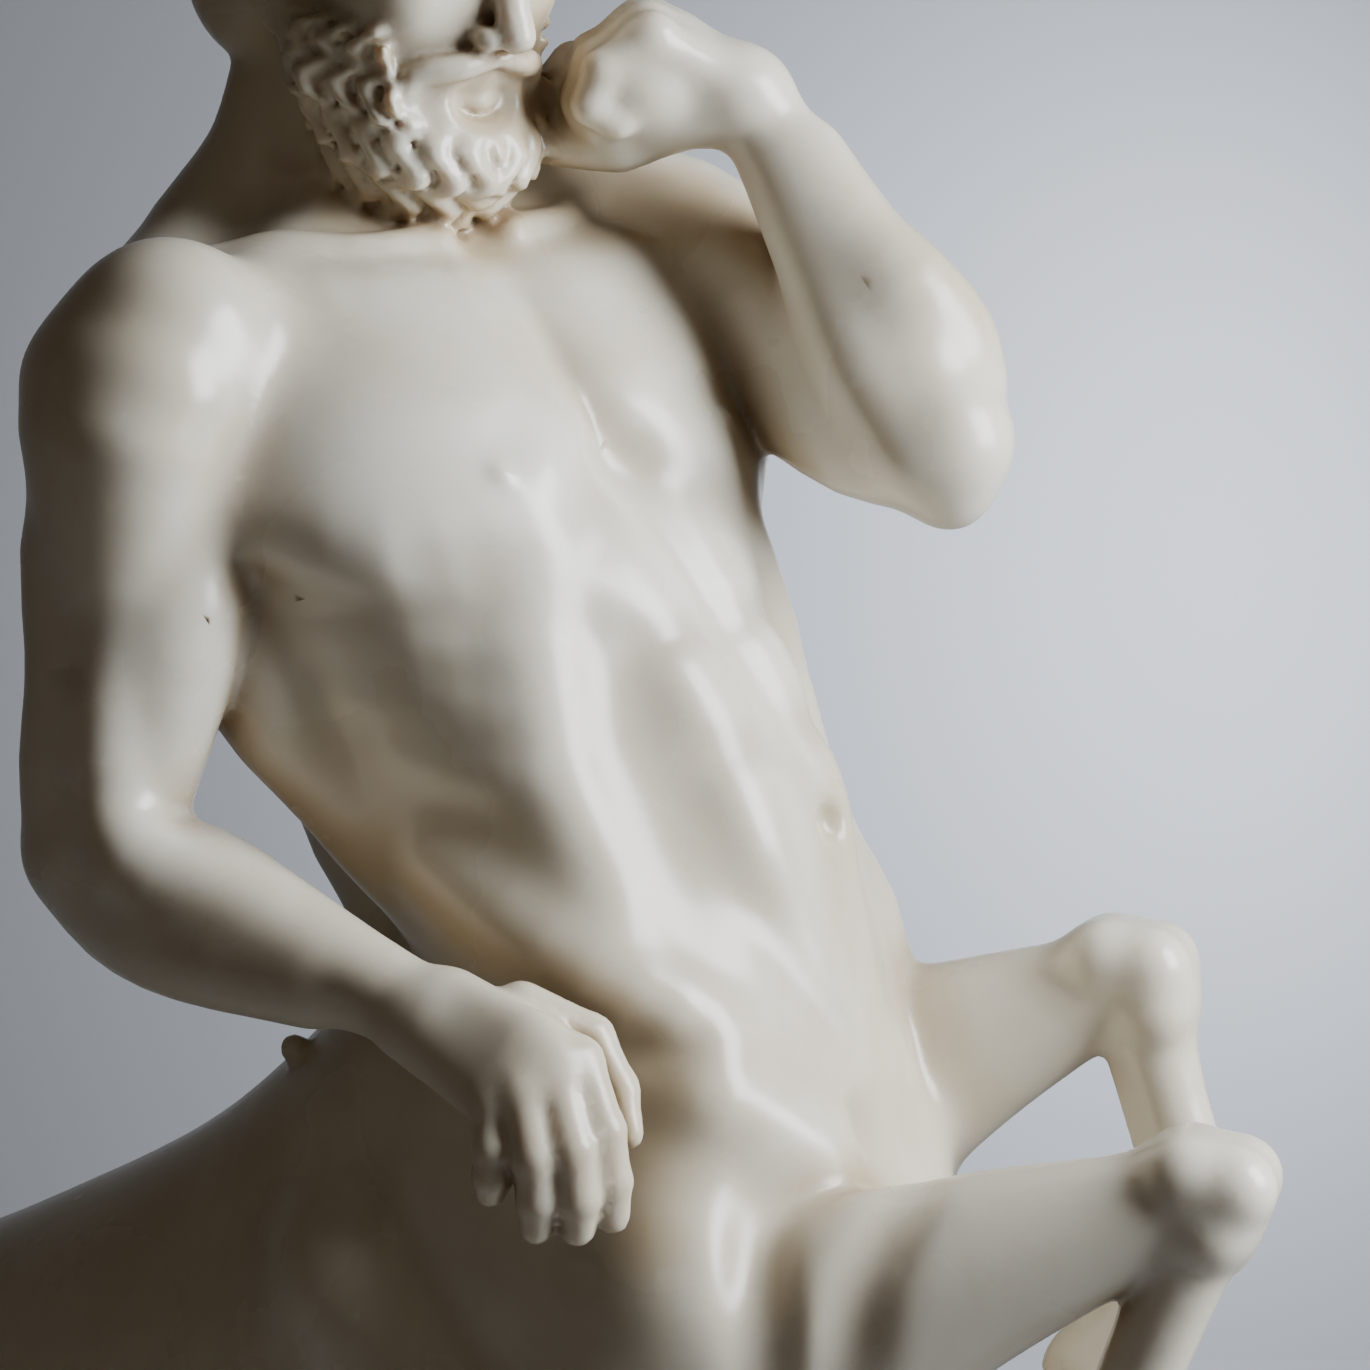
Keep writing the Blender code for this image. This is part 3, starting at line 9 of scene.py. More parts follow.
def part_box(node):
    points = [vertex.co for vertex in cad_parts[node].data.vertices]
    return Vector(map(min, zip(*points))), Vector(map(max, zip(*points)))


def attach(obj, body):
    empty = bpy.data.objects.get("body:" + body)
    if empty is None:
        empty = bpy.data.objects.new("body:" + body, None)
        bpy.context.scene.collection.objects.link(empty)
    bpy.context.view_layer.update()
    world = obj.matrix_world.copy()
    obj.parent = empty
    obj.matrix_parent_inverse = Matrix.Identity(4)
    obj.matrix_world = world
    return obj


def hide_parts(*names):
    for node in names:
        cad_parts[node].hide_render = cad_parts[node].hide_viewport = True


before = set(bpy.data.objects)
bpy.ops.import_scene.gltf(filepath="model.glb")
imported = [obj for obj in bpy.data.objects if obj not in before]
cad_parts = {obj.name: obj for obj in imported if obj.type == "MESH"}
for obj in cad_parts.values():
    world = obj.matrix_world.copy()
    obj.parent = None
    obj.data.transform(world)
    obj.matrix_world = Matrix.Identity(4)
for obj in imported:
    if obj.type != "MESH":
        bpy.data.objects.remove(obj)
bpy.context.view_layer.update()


# The centaur: one block of ivory marble, carved in the round, with the stump and the ground that
# carry it. It is worked here as clay in life-size centimetres (+X forward, +Y to the centaur's left,
# +Z up, origin in the waist), and a closed skin is laid over the clay.
carving_low, carving_high = (Vector(corner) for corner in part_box("centaur"))
GROUND, SLAB_MIDDLE = -104.0, -28.0
SLAB_THICKNESS, SLAB_LENGTH, SLAB_WIDTH = 0.034, 0.800, 0.330
# The figure stands 166.2 life-size centimetres from its ground to the top of its hair.
STATUE_SCALE = (carving_high.z - carving_low.z - SLAB_THICKNESS) / 166.2


# Small vector helpers
def vec(*numbers):
    return np.array(numbers, float)


def unit(v):
    return np.asarray(v, float) / np.linalg.norm(v)


def row_dot(a, b):
    return np.einsum("ij,ij->i", a, b)


def length(rows):
    return np.sqrt(row_dot(rows, rows))


def smooth_path(points, pieces):
    """A smooth line through the points (rows of any width), cut into equal pieces."""
    points = np.asarray(points, float)
    ends = np.vstack([2 * points[0] - points[1], points, 2 * points[-1] - points[-2]])
    rows = []
    for u in np.linspace(0, len(points) - 1, pieces + 1):
        i = min(int(u), len(points) - 2)
        t = u - i
        a, b, c, d = ends[i:i + 4]
        rows.append(0.5 * (2 * b + (c - a) * t + (2 * a - 5 * b + 4 * c - d) * t * t
                           + (3 * b - a - 3 * c + d) * t ** 3))
    return np.array(rows)


# The clay
# A form is (field, centre, reach): field gives the signed distance for rows of places, and centre and
# reach are the ball that holds the form.
def egg(centre, radii, axes=None):
    """An ellipsoid; the rows of axes are its own x, y and z directions."""
    centre, radii = np.asarray(centre, float), np.asarray(radii, float)

    def field(p):
        q = p - centre
        if axes is not None:
            q = q @ np.asarray(axes).T
        q = q / radii
        k = length(q) + 1e-9
        return k * (k - 1) / (length(q / radii) + 1e-9)
    return field, centre, radii.max()


def bar(points, sizes, flat=1.0, across=None, pieces=None):
    """A rounded bar along the points, as thick as sizes; flat thins it along the across direction."""
    rows = np.column_stack([np.asarray(points, float), np.asarray(sizes, float)])
    if len(rows) > 2:
        rows = smooth_path(rows, pieces or 3 * (len(rows) - 1))
    start, along = rows[:-1, :3], np.diff(rows[:, :3], axis=0)
    size, swell = rows[:-1, 3], np.diff(rows[:, 3])
    run = np.maximum(row_dot(along, along), 1e-9)
    start_along, start_start = row_dot(start, along), row_dot(start, start)
    slope = np.clip(swell / np.sqrt(run), -0.9, 0.9)
    lean = slope / np.sqrt((1 - slope ** 2) * run)

    def field(p):
        ahead = (p @ along.T - start_along) / run
        apart = row_dot(p, p)[:, None] - 2 * (p @ start.T) + start_start
        beside = np.maximum(apart - ahead * ahead * run, 0)
        t = np.clip(ahead + lean * np.sqrt(beside), 0, 1)
        apart = beside + (ahead - t) ** 2 * run
        if across is None:
            return (np.sqrt(apart) - size - swell * t).min(1)
        w = (p @ unit(across))[:, None] - start @ unit(across) - t * (along @ unit(across))
        wide = np.sqrt(apart + w * w * (1 / flat ** 2 - 1)) + 1e-9
        return ((wide - size - swell * t) * np.maximum(np.sqrt(apart) / wide, flat)).min(1)
    middle = (rows[:, :3].min(0) + rows[:, :3].max(0)) / 2
    return field, middle, (np.linalg.norm(rows[:, :3] - middle, axis=1) + rows[:, 3]).max()


def crease(points, width, height):
    """Relief along a line: a ridge where height is positive, a groove where it is negative."""
    rows = np.asarray(points, float)
    if len(rows) > 2:
        rows = smooth_path(rows, 4 * (len(rows) - 1))
    start, along = rows[:-1], np.diff(rows, axis=0)
    run = np.maximum(row_dot(along, along), 1e-9)
    start_along, start_start = row_dot(start, along), row_dot(start, start)

    def field(p):
        ahead = p @ along.T - start_along
        t = np.clip(ahead / run, 0, 1)
        apart = row_dot(p, p)[:, None] - 2 * (p @ start.T) + start_start
        apart = np.maximum(apart - t * (2 * ahead - t * run), 0)
        return -height * np.exp(-apart.min(1) / width ** 2)
    middle = (rows.min(0) + rows.max(0)) / 2
    return field, middle, np.linalg.norm(rows - middle, axis=1).max() + 2.5 * width


def spot(centre, width, height):
    """Relief round one place: a boss where height is positive, a dimple where it is negative."""
    centre = np.asarray(centre, float)

    def field(p):
        v = p - centre
        return -height * np.exp(-row_dot(v, v) / width ** 2)
    return field, centre, 2.5 * width


def everything_below(height):
    """All that lies under a level, for cutting a mass off flat."""
    return (lambda p: p[:, 2] - height), vec(0, 0, 0), 1e3


class Clay:
    """Forms in the order they are worked. Each step is in a space and belongs to a mass."""

    def __init__(self):
        self.steps = []
        self.joins = {}
        self.reach = ()

    def add(self, mass, space, form, soft=1.0):
        self.steps.append(("add", mass, space, form, soft))

    def cut(self, mass, space, form, soft=0.6):
        self.steps.append(("cut", mass, space, form, soft))

    def relief(self, mass, space, form):
        self.steps.append(("relief", mass, space, form, 0.0))

    def depth(self, p, band):
        """Signed distance at the rows of p; forms farther off than the band are left out."""
        if len(self.steps) != len(self.reach):
            self.names = sorted({step[2] for step in self.steps})
            self.centre = np.array([step[3][1] for step in self.steps])
            self.reach = np.array([step[3][2] + step[4] for step in self.steps])
            self.which = np.array([self.names.index(step[2]) for step in self.steps])
        places = [SPACES[name](p) for name in self.names]
        middles = np.array([(q.min(0) + q.max(0)) / 2 for q in places])
        balls = np.array([length(q - middle).max() for q, middle in zip(places, middles)])
        gaps = length(middles[self.which] - self.centre) - balls[self.which] - self.reach
        masses = {}
        for i in np.flatnonzero(gaps < band):
            kind, mass, _, (field, _, _), soft = self.steps[i]
            if kind == "add":
                d = field(places[self.which[i]])
                masses[mass] = soft_join(masses[mass], d, soft) if mass in masses else d
            elif mass in masses and kind == "cut":
                masses[mass] = -soft_join(-masses[mass], field(places[self.which[i]]), soft)
            elif mass in masses:
                masses[mass] = masses[mass] + field(places[self.which[i]])
        whole = None
        for mass, d in masses.items():
            whole = d if whole is None else soft_join(whole, d, self.joins.get(mass, 0.6))
        return np.full(len(p), 1e3) if whole is None else whole


def soft_join(a, b, soft):
    h = np.clip(1 - np.abs(a - b) / soft, 0, None)
    return np.minimum(a, b) - h ** 3 * soft / 6


# Pose: the spine and the spaces
# Stations of the trunk's axis: height along the trunk, place, and the way it faces (degrees, 0 = +X).
SPINE = (
    (-34.0, (8.0, 0.0, -32.0), 0.0),
    (-22.0, (7.0, 0.0, -20.5), 0.0),
    (-12.0, (4.6, 0.3, -11.2), -1.0),
    (0.0, (0.0, 0.0, 0.0), -7.0),
    (12.0, (-5.8, 0.4, 10.8), -14.0),
    (23.5, (-11.2, 1.2, 21.0), -22.0),
    (36.0, (-14.2, 2.6, 33.2), -26.0),
    (48.0, (-14.8, 3.4, 45.2), -27.0),
)
GIRDLE_TILT = 0.12           # the raised left arm lifts its shoulder


def spine_table(step=0.5):
    heights = np.array([s[0] for s in SPINE])
    rows = np.array([[*s[1], math.radians(s[2])] for s in SPINE])
    s = np.arange(heights[0], heights[-1] + step, step)
    place = smooth_path(np.column_stack([heights, rows]), 160)
    place = np.column_stack([np.interp(s, place[:, 0], place[:, k]) for k in range(1, 5)])
    up = np.gradient(place[:, :3], axis=0)
    up /= np.linalg.norm(up, axis=1)[:, None]
    front = np.column_stack([np.cos(place[:, 3]), np.sin(place[:, 3]), np.zeros(len(s))])
    front -= row_dot(front, up)[:, None] * up
    front /= np.linalg.norm(front, axis=1)[:, None]
    side = np.cross(up, front)
    return s, place[:, :3], front, side, up


SPINE_S, SPINE_AT, SPINE_FRONT, SPINE_SIDE, SPINE_UP = spine_table()


def along_spine(table, s):
    u = np.clip((s - SPINE_S[0]) / (SPINE_S[1] - SPINE_S[0]), 0, len(SPINE_S) - 1.001)
    i = u.astype(int)
    t = (u - i)[:, None]
    return table[i] * (1 - t) + table[i + 1] * t


def tilt(y, z):
    return GIRDLE_TILT * y * np.clip((z - 18) / 18, 0, 1)


def to_trunk(p):
    """Places in the figure turned into the straight trunk's own: forward, left, up along the spine."""
    s = p[:, 2] / 0.93
    for _ in range(4):
        s = s + row_dot(p - along_spine(SPINE_AT, s), along_spine(SPINE_UP, s))
    q = p - along_spine(SPINE_AT, s)
    x = row_dot(q, along_spine(SPINE_FRONT, s))
    y = row_dot(q, along_spine(SPINE_SIDE, s))
    return np.column_stack([x, y, s - tilt(y, s)])


def from_trunk(x, y, z):
    """A place given on the straight trunk, as a place in the figure."""
    s = np.array([z + float(tilt(y, z))])
    return (along_spine(SPINE_AT, s) + x * along_spine(SPINE_FRONT, s)
            + y * along_spine(SPINE_SIDE, s))[0]


def mirrored(space, softness=0.5):
    def folded(p):
        q = space(p)
        return np.column_stack([q[:, 0], np.sqrt(q[:, 1] ** 2 + softness ** 2) - softness * 0.5, q[:, 2]])
    return folded


HEAD_CENTRE = vec(-12.9, 0.5, 48.6)
HEAD_YAW, HEAD_BOW, HEAD_LEAN = math.radians(-21), math.radians(15), math.radians(-2)


def head_axes():
    flat = vec(math.cos(HEAD_YAW), math.sin(HEAD_YAW), 0)
    up = vec(0, 0, 1)
    front = flat * math.cos(HEAD_BOW) - up * math.sin(HEAD_BOW)
    crown = flat * math.sin(HEAD_BOW) + up * math.cos(HEAD_BOW)
    side = np.cross(crown, front)
    crown = crown * math.cos(HEAD_LEAN) + side * math.sin(HEAD_LEAN)
    return np.array([front, np.cross(crown, front), crown])


HEAD_AXES = head_axes()


def to_head(p):
    return (p - HEAD_CENTRE) @ HEAD_AXES.T


def from_head(x, y, z):
    return HEAD_CENTRE + vec(x, y, z) @ HEAD_AXES


SPACES = {
    "world": lambda p: p,
    "both sides": mirrored(lambda p: p, 0.8),
    "trunk": to_trunk,
    "trunk, both sides": mirrored(to_trunk, 0.35),
    "head, both sides": mirrored(to_head, 0.12),
    "head": to_head,
}
LEFT, RIGHT = 1, -1


# The man's trunk
# Sections of the trunk: height, half width, depth in front of the axis, depth behind it.
TRUNK = (
    (-36, 12.5, 8.0, 12.0), (-28, 14.5, 10.0, 14.0), (-20, 15.5, 10.0, 12.6), (-13, 15.1, 10.0, 12.6),
    (-6, 14.2, 11.1, 12.2), (0, 13.7, 11.8, 12.2), (6, 14.0, 11.8, 14.4), (12, 15.0, 11.7, 15.2),
    (19, 16.0, 11.8, 14.0), (26, 16.3, 11.0, 13.0), (31, 14.6, 8.6, 12.0), (34.5, 11.0, 5.2, 10.2),
    (38, 6.5, 2.8, 7.6),
)
TRUNK_SQUARENESS = 2.35


def trunk_section(z):
    rows = np.array(TRUNK, float)
    return [np.interp(z, rows[:, 0], rows[:, k]) for k in (1, 2, 3)]


def trunk_core():
    rows = smooth_path(TRUNK, 90)

    def field(q):
        x, y, z = q.T
        half, front, back = (np.interp(z, rows[:, 0], rows[:, k]) for k in (1, 2, 3))
        deep = np.where(x > 0, front, back)
        n = TRUNK_SQUARENESS
        k = ((np.abs(x) / deep) ** n + (np.abs(y) / half) ** n) ** (1 / n) + 1e-6
        out = np.hypot(x, y)
        d = (out - out / k) * 0.9
        return np.maximum(d, np.maximum(z - TRUNK[-1][0], TRUNK[0][0] - z))
    return field, vec(0, 0, 1.5), 44.0


def on_trunk(z, degrees, out=0.0):
    """A place on the trunk's surface: 0 degrees is the front, 90 the side, 180 the spine."""
    half, front, back = trunk_section(z)
    c, s = math.cos(math.radians(degrees)), math.sin(math.radians(degrees))
    deep, n = (front if c > 0 else back), TRUNK_SQUARENESS
    far = ((abs(c) / deep) ** n + (abs(s) / half) ** n) ** (-1 / n) + out
    return vec(far * c, far * s, z)


def trunk_line(rows):
    return [on_trunk(*row) for row in rows]


def model_trunk(clay):
    pair = "trunk, both sides"

    def add(form, soft):
        clay.add("trunk", pair, form, soft)

    def muscle(rows, sizes, soft):
        """A bar of muscle along a line on the trunk's surface."""
        add(bar(trunk_line(rows), sizes), soft)

    def groove(rows, width, height, space=pair):
        clay.relief("trunk", space, crease(trunk_line(rows), width, height))

    add(trunk_core(), 1.0)
    # Chest: the fan of each breast muscle with its full lower edge, and the breastbone between them.
    add(egg((6.9, 7.8, 22.4), (5.4, 9.2, 8.6), [unit((1, 0.32, 0.12)), unit((-0.32, 1, 0)), (0, 0, 1)]), 3.2)
    add(bar([(9.4, 2.4, 17.4), (9.5, 7.5, 15.2), (6.9, 13.0, 16.2), (2.6, 16.2, 21.2)],
            (1.5, 2.2, 2.4, 2.2)), 5.0)
    add(bar([(7.4, 4, 28.0), (5.2, 10, 29.0), (1.6, 16, 27.6)], (2.4, 3.2, 3.4)), 3.6)
    # Broad back muscle from the armpit, and the saw-toothed muscle over the ribs.
    muscle([(-2, 128, -3), (8, 118, -1.6), (17, 106, -1.0), (25, 98, -0.4)], (2.4, 3.6, 4.2, 3.6), 3.2)
    for tooth in range(4):
        z = 15.0 - 3.7 * tooth
        muscle([(z + 3.0, 88, -1.8), (z, 70, -1.4), (z - 1.6, 58, -1.5)], (1.5, 1.4, 0.8), 2.4)
    # Edge of the ribcage: it arches from the breastbone down and round to the flank.
    muscle([(20.5, 5, -1.8), (17, 20, -1.6), (13, 38, -1.6), (8.5, 48, -1.8), (2.2, 60, -2.2),
            (-4.0, 66, -2.4)], (1.2, 1.8, 2.1, 2.2, 2.2, 1.8), 4.2)
    # Belly: the paired muscles down the middle, the hip's fleshy roll, and the lower belly.
    for z, tall in ((9.6, 4.4), (3.2, 4.0), (-2.4, 3.6)):
        add(egg(on_trunk(z, 16, -2.9), (3.1, 4.6, tall + 0.4)), 4.2)
    add(egg(on_trunk(-10, 12, -3.4), (3.5, 4.8, 9.0)), 3.6)
    muscle([(1.0, 98, -1.6), (-4.8, 80, -1.3), (-9.4, 64, -1.5), (-12.0, 52, -2.1)],
           (2.5, 2.9, 2.6, 1.6), 3.2)
    muscle([(-14.5, 62, -1.5), (-18.5, 40, -1.6)], (3.0, 2.6), 3.4)
    # Back: columns beside the spine, shoulder blades and the slope from neck to shoulder.
    muscle([(-8, 166, -1.6), (6, 166, -1.0), (20, 164, -1.8)], (2.6, 3.0, 2.4), 2.4)
    add(egg((-9.6, 9.0, 22.0), (3.2, 5.4, 7.5)), 2.8)
    add(bar([(-6.6, 3.0, 38.6), (-6.4, 8.4, 35.0), (-4.6, 14.2, 31.9)], (3.4, 4.0, 3.6)), 4.0)
    # Collar bones.
    add(bar([(6.4, 2.2, 33.0), (5.4, 7.0, 33.4), (1.2, 12.0, 34.0), (-1.6, 16.4, 33.6)],
            (1.2, 0.9, 0.9, 1.2)), 1.8)
    # Grooves: the midline, the edge of the ribcage, the groin, the spine, and the navel.
    clay.relief("trunk", "trunk", crease([(6.6, 0, 31), (10.4, 0, 24), (11.8, 0, 16.5)], 2.0, -0.5))
    groove([(16, 0, 0.6), (4, 3, 0.6), (-4, 10, 0.5)], 1.6, -0.5, "trunk")
    groove([(-4, 10, 0.4), (-14, 6, 0.2)], 1.5, -0.2, "trunk")
    groove([(24, 180, 0), (0, 180, 0)], 1.9, -1.2, "trunk")
    for z in (6.4, 0.6):
        groove([(z, 4, 0.4), (z + 0.3, 26, 0.4)], 1.1, -0.28)
    groove([(8.0, 39, 0.2), (2.5, 43, 0), (-4, 45, 0)], 2.8, -0.6)
    groove([(6, 31, 0.1), (0, 33, 0), (-6, 31, 0), (-13, 21, 0)], 1.8, -0.45)
    clay.relief("trunk", pair, spot(on_trunk(1.6, 42, 0.3), 3.8, -0.8))
    groove([(7, 132, 0.4), (1.5, 136, 0), (-3.5, 132, 0)], 4.2, -1.5)
    clay.relief("trunk", pair, spot(on_trunk(-5.0, 42, 0.3), 3.2, -0.5))
    groove([(-10.5, 70, 0.6), (-14.2, 56, 0.5), (-15.6, 42, 0.3), (-17.2, 24, 0.2), (-18.4, 10, 0)],
           2.2, -0.35)
    clay.relief("trunk", pair, crease([(11.2, 2.0, 15.8), (11.8, 7.8, 12.2), (9.4, 13.8, 13.8)],
                                      2.0, -0.35))
    clay.relief("trunk", "trunk", spot(on_trunk(-4.0, 12, 0.2), 0.62, -1.9))
    clay.relief("trunk", pair, spot((12.6, 8.6, 16.8), 0.6, 0.28))
    clay.relief("trunk", "trunk", spot(on_trunk(-18.2, -20, 0.3), 1.2, -0.7))


# The neck and head
def model_neck(clay):
    base, top = from_trunk(-2.6, -0.5, 32.5), from_head(-2.0, 0, -4.0)
    clay.add("trunk", "world", bar([base, (base + top) / 2, top], (6.8, 5.5, 5.4)), 2.6)
    for side in (LEFT, RIGHT):
        notch = from_trunk(5.4, 1.5 * side, 32.8)
        behind_ear = from_head(-2.8, 5.4 * side, -3.0)
        clay.add("trunk", "world", bar([notch, (notch + behind_ear) / 2 + 0.8 * SPINE_FRONT[-1],
                                        behind_ear],
                                       (0.9, 1.1, 1.7)), 2.2)
        nape = from_head(-4.6, 2.4 * side, -5.0)
        clay.add("trunk", "world", bar([nape, from_trunk(-5.6, 5.4 * side, 35.4)], (2.4, 4.0)), 3.0)
    # The slope from the neck to the raised left shoulder.
    clay.add("trunk", "world", bar([(-12.0, 6.5, 36.0), (-9.0, 11.0, 33.7), (-6.0, 14.6, 32.4)],
                                   (3.0, 3.1, 3.2)), 3.0)
    clay.relief("trunk", "trunk", spot((6.8, 0, 34.2), 1.5, -1.2))


def lock(root, tip, bend, size, hook=0.6):
    """One lock of hair: an S that ends in a small hook. bend is the way it swings out."""
    root, tip, bend = (np.asarray(v, float) for v in (root, tip, bend))
    way = tip - root
    return bar([root, root + way * 0.35 + bend * 0.5, root + way * 0.75 - bend * 0.4,
                tip, tip + bend * hook - way * 0.12], (size * 0.75, size, size * 0.85, size * 0.6,
                                                       size * 0.35),
               pieces=8)


def model_head(clay):
    pair = "head, both sides"

    def add(form, soft=0.8):
        clay.add("head", pair, form, soft)

    add(egg((-1.2, 0, 4.4), (9.4, 7.2, 7.8)))
    add(egg((3.0, 0, -2.4), (6.1, 5.8, 8.6)), 1.8)
    add(bar([(-0.6, 5.2, -4.5), (2.2, 4.9, -7.6), (6.4, 1.6, -10.0)], (1.9, 2.0, 1.9)), 1.8)
    add(egg((3.8, 0, 5.0), (5.0, 6.0, 4.6)), 1.8)
    # Calm brow, cheeks and eyes.
    add(bar([(8.5, 0.6, 1.7), (8.3, 3.2, 2.1), (6.2, 5.6, 1.2)], (0.7, 0.75, 0.8)), 1.4)
    add(egg((5.0, 4.0, -2.4), (3.0, 2.2, 2.6)), 2.2)
    clay.cut("head", pair, egg((9.9, 3.1, 0.1), (2.3, 2.0, 1.2)), 1.2)
    add(egg((6.95, 3.1, 0.1), (1.3, 1.4, 1.25)), 0.3)
    add(bar([(7.6, 1.5, 0.1), (8.35, 2.9, 0.75), (7.2, 4.7, 0.1)], (0.24, 0.32, 0.24)), 0.25)
    add(bar([(7.6, 1.6, -0.1), (8.1, 3.0, -0.6), (7.2, 4.6, 0.0)], (0.2, 0.26, 0.2)), 0.25)
    # Nose.
    add(bar([(8.3, 0, 1.8), (10.3, 0, -2.6)], (0.75, 0.95)), 0.9)
    add(egg((10.6, 0, -3.4), (1.15, 1.0, 0.95)), 0.7)
    add(egg((9.6, 1.2, -3.8), (1.0, 0.65, 0.75)), 0.5)
    # Lips between a thin moustache and the beard.
    add(bar([(8.9, 0, -6.3), (8.1, 2.2, -6.6)], (0.5, 0.28)), 0.5)
    add(bar([(8.8, 0, -7.5), (8.1, 1.9, -7.3)], (0.66, 0.3)), 0.4)
    clay.relief("head", pair, crease([(9.5, 0, -6.95), (8.2, 2.4, -6.95)], 0.35, -0.55))
    add(bar([(9.4, 0.35, -5.0), (9.1, 2.2, -5.4), (7.7, 4.0, -6.2), (7.0, 4.6, -8.6)],
            (0.55, 0.75, 0.7, 0.6)), 0.4)
    model_beard(clay)
    model_hair(clay)
    # Ear.
    add(bar([(0.4, 7.0, 1.3), (-1.1, 7.7, 1.8), (-2.0, 7.8, 0.2), (-1.2, 7.5, -1.6), (-0.1, 7.0, -2.4)],
            (0.4, 0.5, 0.5, 0.45, 0.55)), 0.3)


BEARD_HEART, BEARD_RADII = vec(2.4, 0, -6.3), vec(7.3, 6.6, 7.5)
CURL_FALL, CURL_WIDTH, CURL_RISE = 20.0, 14.0, 1.0     # degrees down, degrees across, centimetres out


def curls(q):
    """Relief of a full beard at rows of places in the head: tiers of S-shaped curls that overlap like
    shingles, each tier half a curl aside from the one over it; the lips and chin's hollow stay bare."""
    way = (q - BEARD_HEART) / BEARD_RADII
    rise = np.degrees(np.arcsin(np.clip(way[:, 2] / (length(way) + 1e-6), -1, 1)))
    turn = np.degrees(np.arctan2(way[:, 1], way[:, 0]))
    tier, down = np.divmod((22 - rise) / CURL_FALL, 1)
    middle = np.radians(22 - CURL_FALL * (tier + 0.5))
    width = CURL_WIDTH / np.clip(np.cos(middle), 0.4, 1)
    wave = 0.36 * np.sin(6.28 * down + 1.7 * tier)
    strand = np.abs(np.sin(np.pi * (turn / width + 0.5 * tier + wave))) ** 0.75
    lift = (0.45 + 0.55 * down) * np.sqrt(np.clip((1.02 - down) / 0.25, 0, 1)) + 0.12
    upper_edge = np.interp(turn, (20, 44, 56), (-17, -10, 20))
    haired = np.clip((upper_edge - rise) / 6, 0, 1) * np.clip((106 - turn) / 12, 0, 1)
    return -CURL_RISE * strand * lift * haired


def model_beard(clay):
    """The beard's mass with its curls, and the lips that show in the bare hollow over the chin."""
    pair = "head, both sides"
    clay.add("head", pair, egg(BEARD_HEART + vec(-0.2, 0, -0.2), BEARD_RADII * 0.93), 0.8)
    clay.add("head", pair, egg((5.0, 0, -10.2), (5.4, 5.4, 4.6)), 2.2)
    clay.cut("head", pair, egg((11.2, 0, -7.4), (3.4, 3.0, 1.5)), 0.8)
    clay.add("head", pair, bar([(8.3, 0, -6.3), (7.8, 2.1, -6.6)], (0.75, 0.45)), 0.5)
    clay.add("head", pair, bar([(8.2, 0, -7.6), (7.7, 1.8, -7.5)], (0.8, 0.45)), 0.4)
    clay.relief("head", pair, (curls, BEARD_HEART, 1.5 * BEARD_RADII.max()))


def model_hair(clay):
    """Wavy locks that fall from the crown, tier below tier, down to the nape."""
    pair = "head, both sides"
    clay.add("head", pair, egg((-5.0, 3.6, -3.4), (5.3, 4.9, 5.9)), 1.2)
    for tier in range(6):
        lift = 78 - 21 * tier
        count = (4, 7, 9, 10, 8, 7)[tier]
        for k in range(count):
            turn = 10 + (172 / (count - 0.4)) * k
            if turn < (0, 0, 48, 76, 88, 98)[tier]:
                continue

            def shell(rise, around, out):
                rise, around = math.radians(rise), math.radians(around)
                return vec(-1.6 + (9.4 + out) * math.cos(rise) * math.cos(around),
                           (7.3 + out) * math.cos(rise) * math.sin(around),
                           3.6 + (8.6 + out + (4.6 if rise < 0 else 0)) * math.sin(rise))
            root, tip = shell(lift, turn, 0.3), shell(lift - 26, turn + 3, 0.4)
            swing = vec(-math.sin(math.radians(turn)), math.cos(math.radians(turn)), 0.0)
            clay.add("head", pair, lock(root, tip, swing * (0.8 if (k + tier) % 2 else -0.8), 0.95), 0.25)


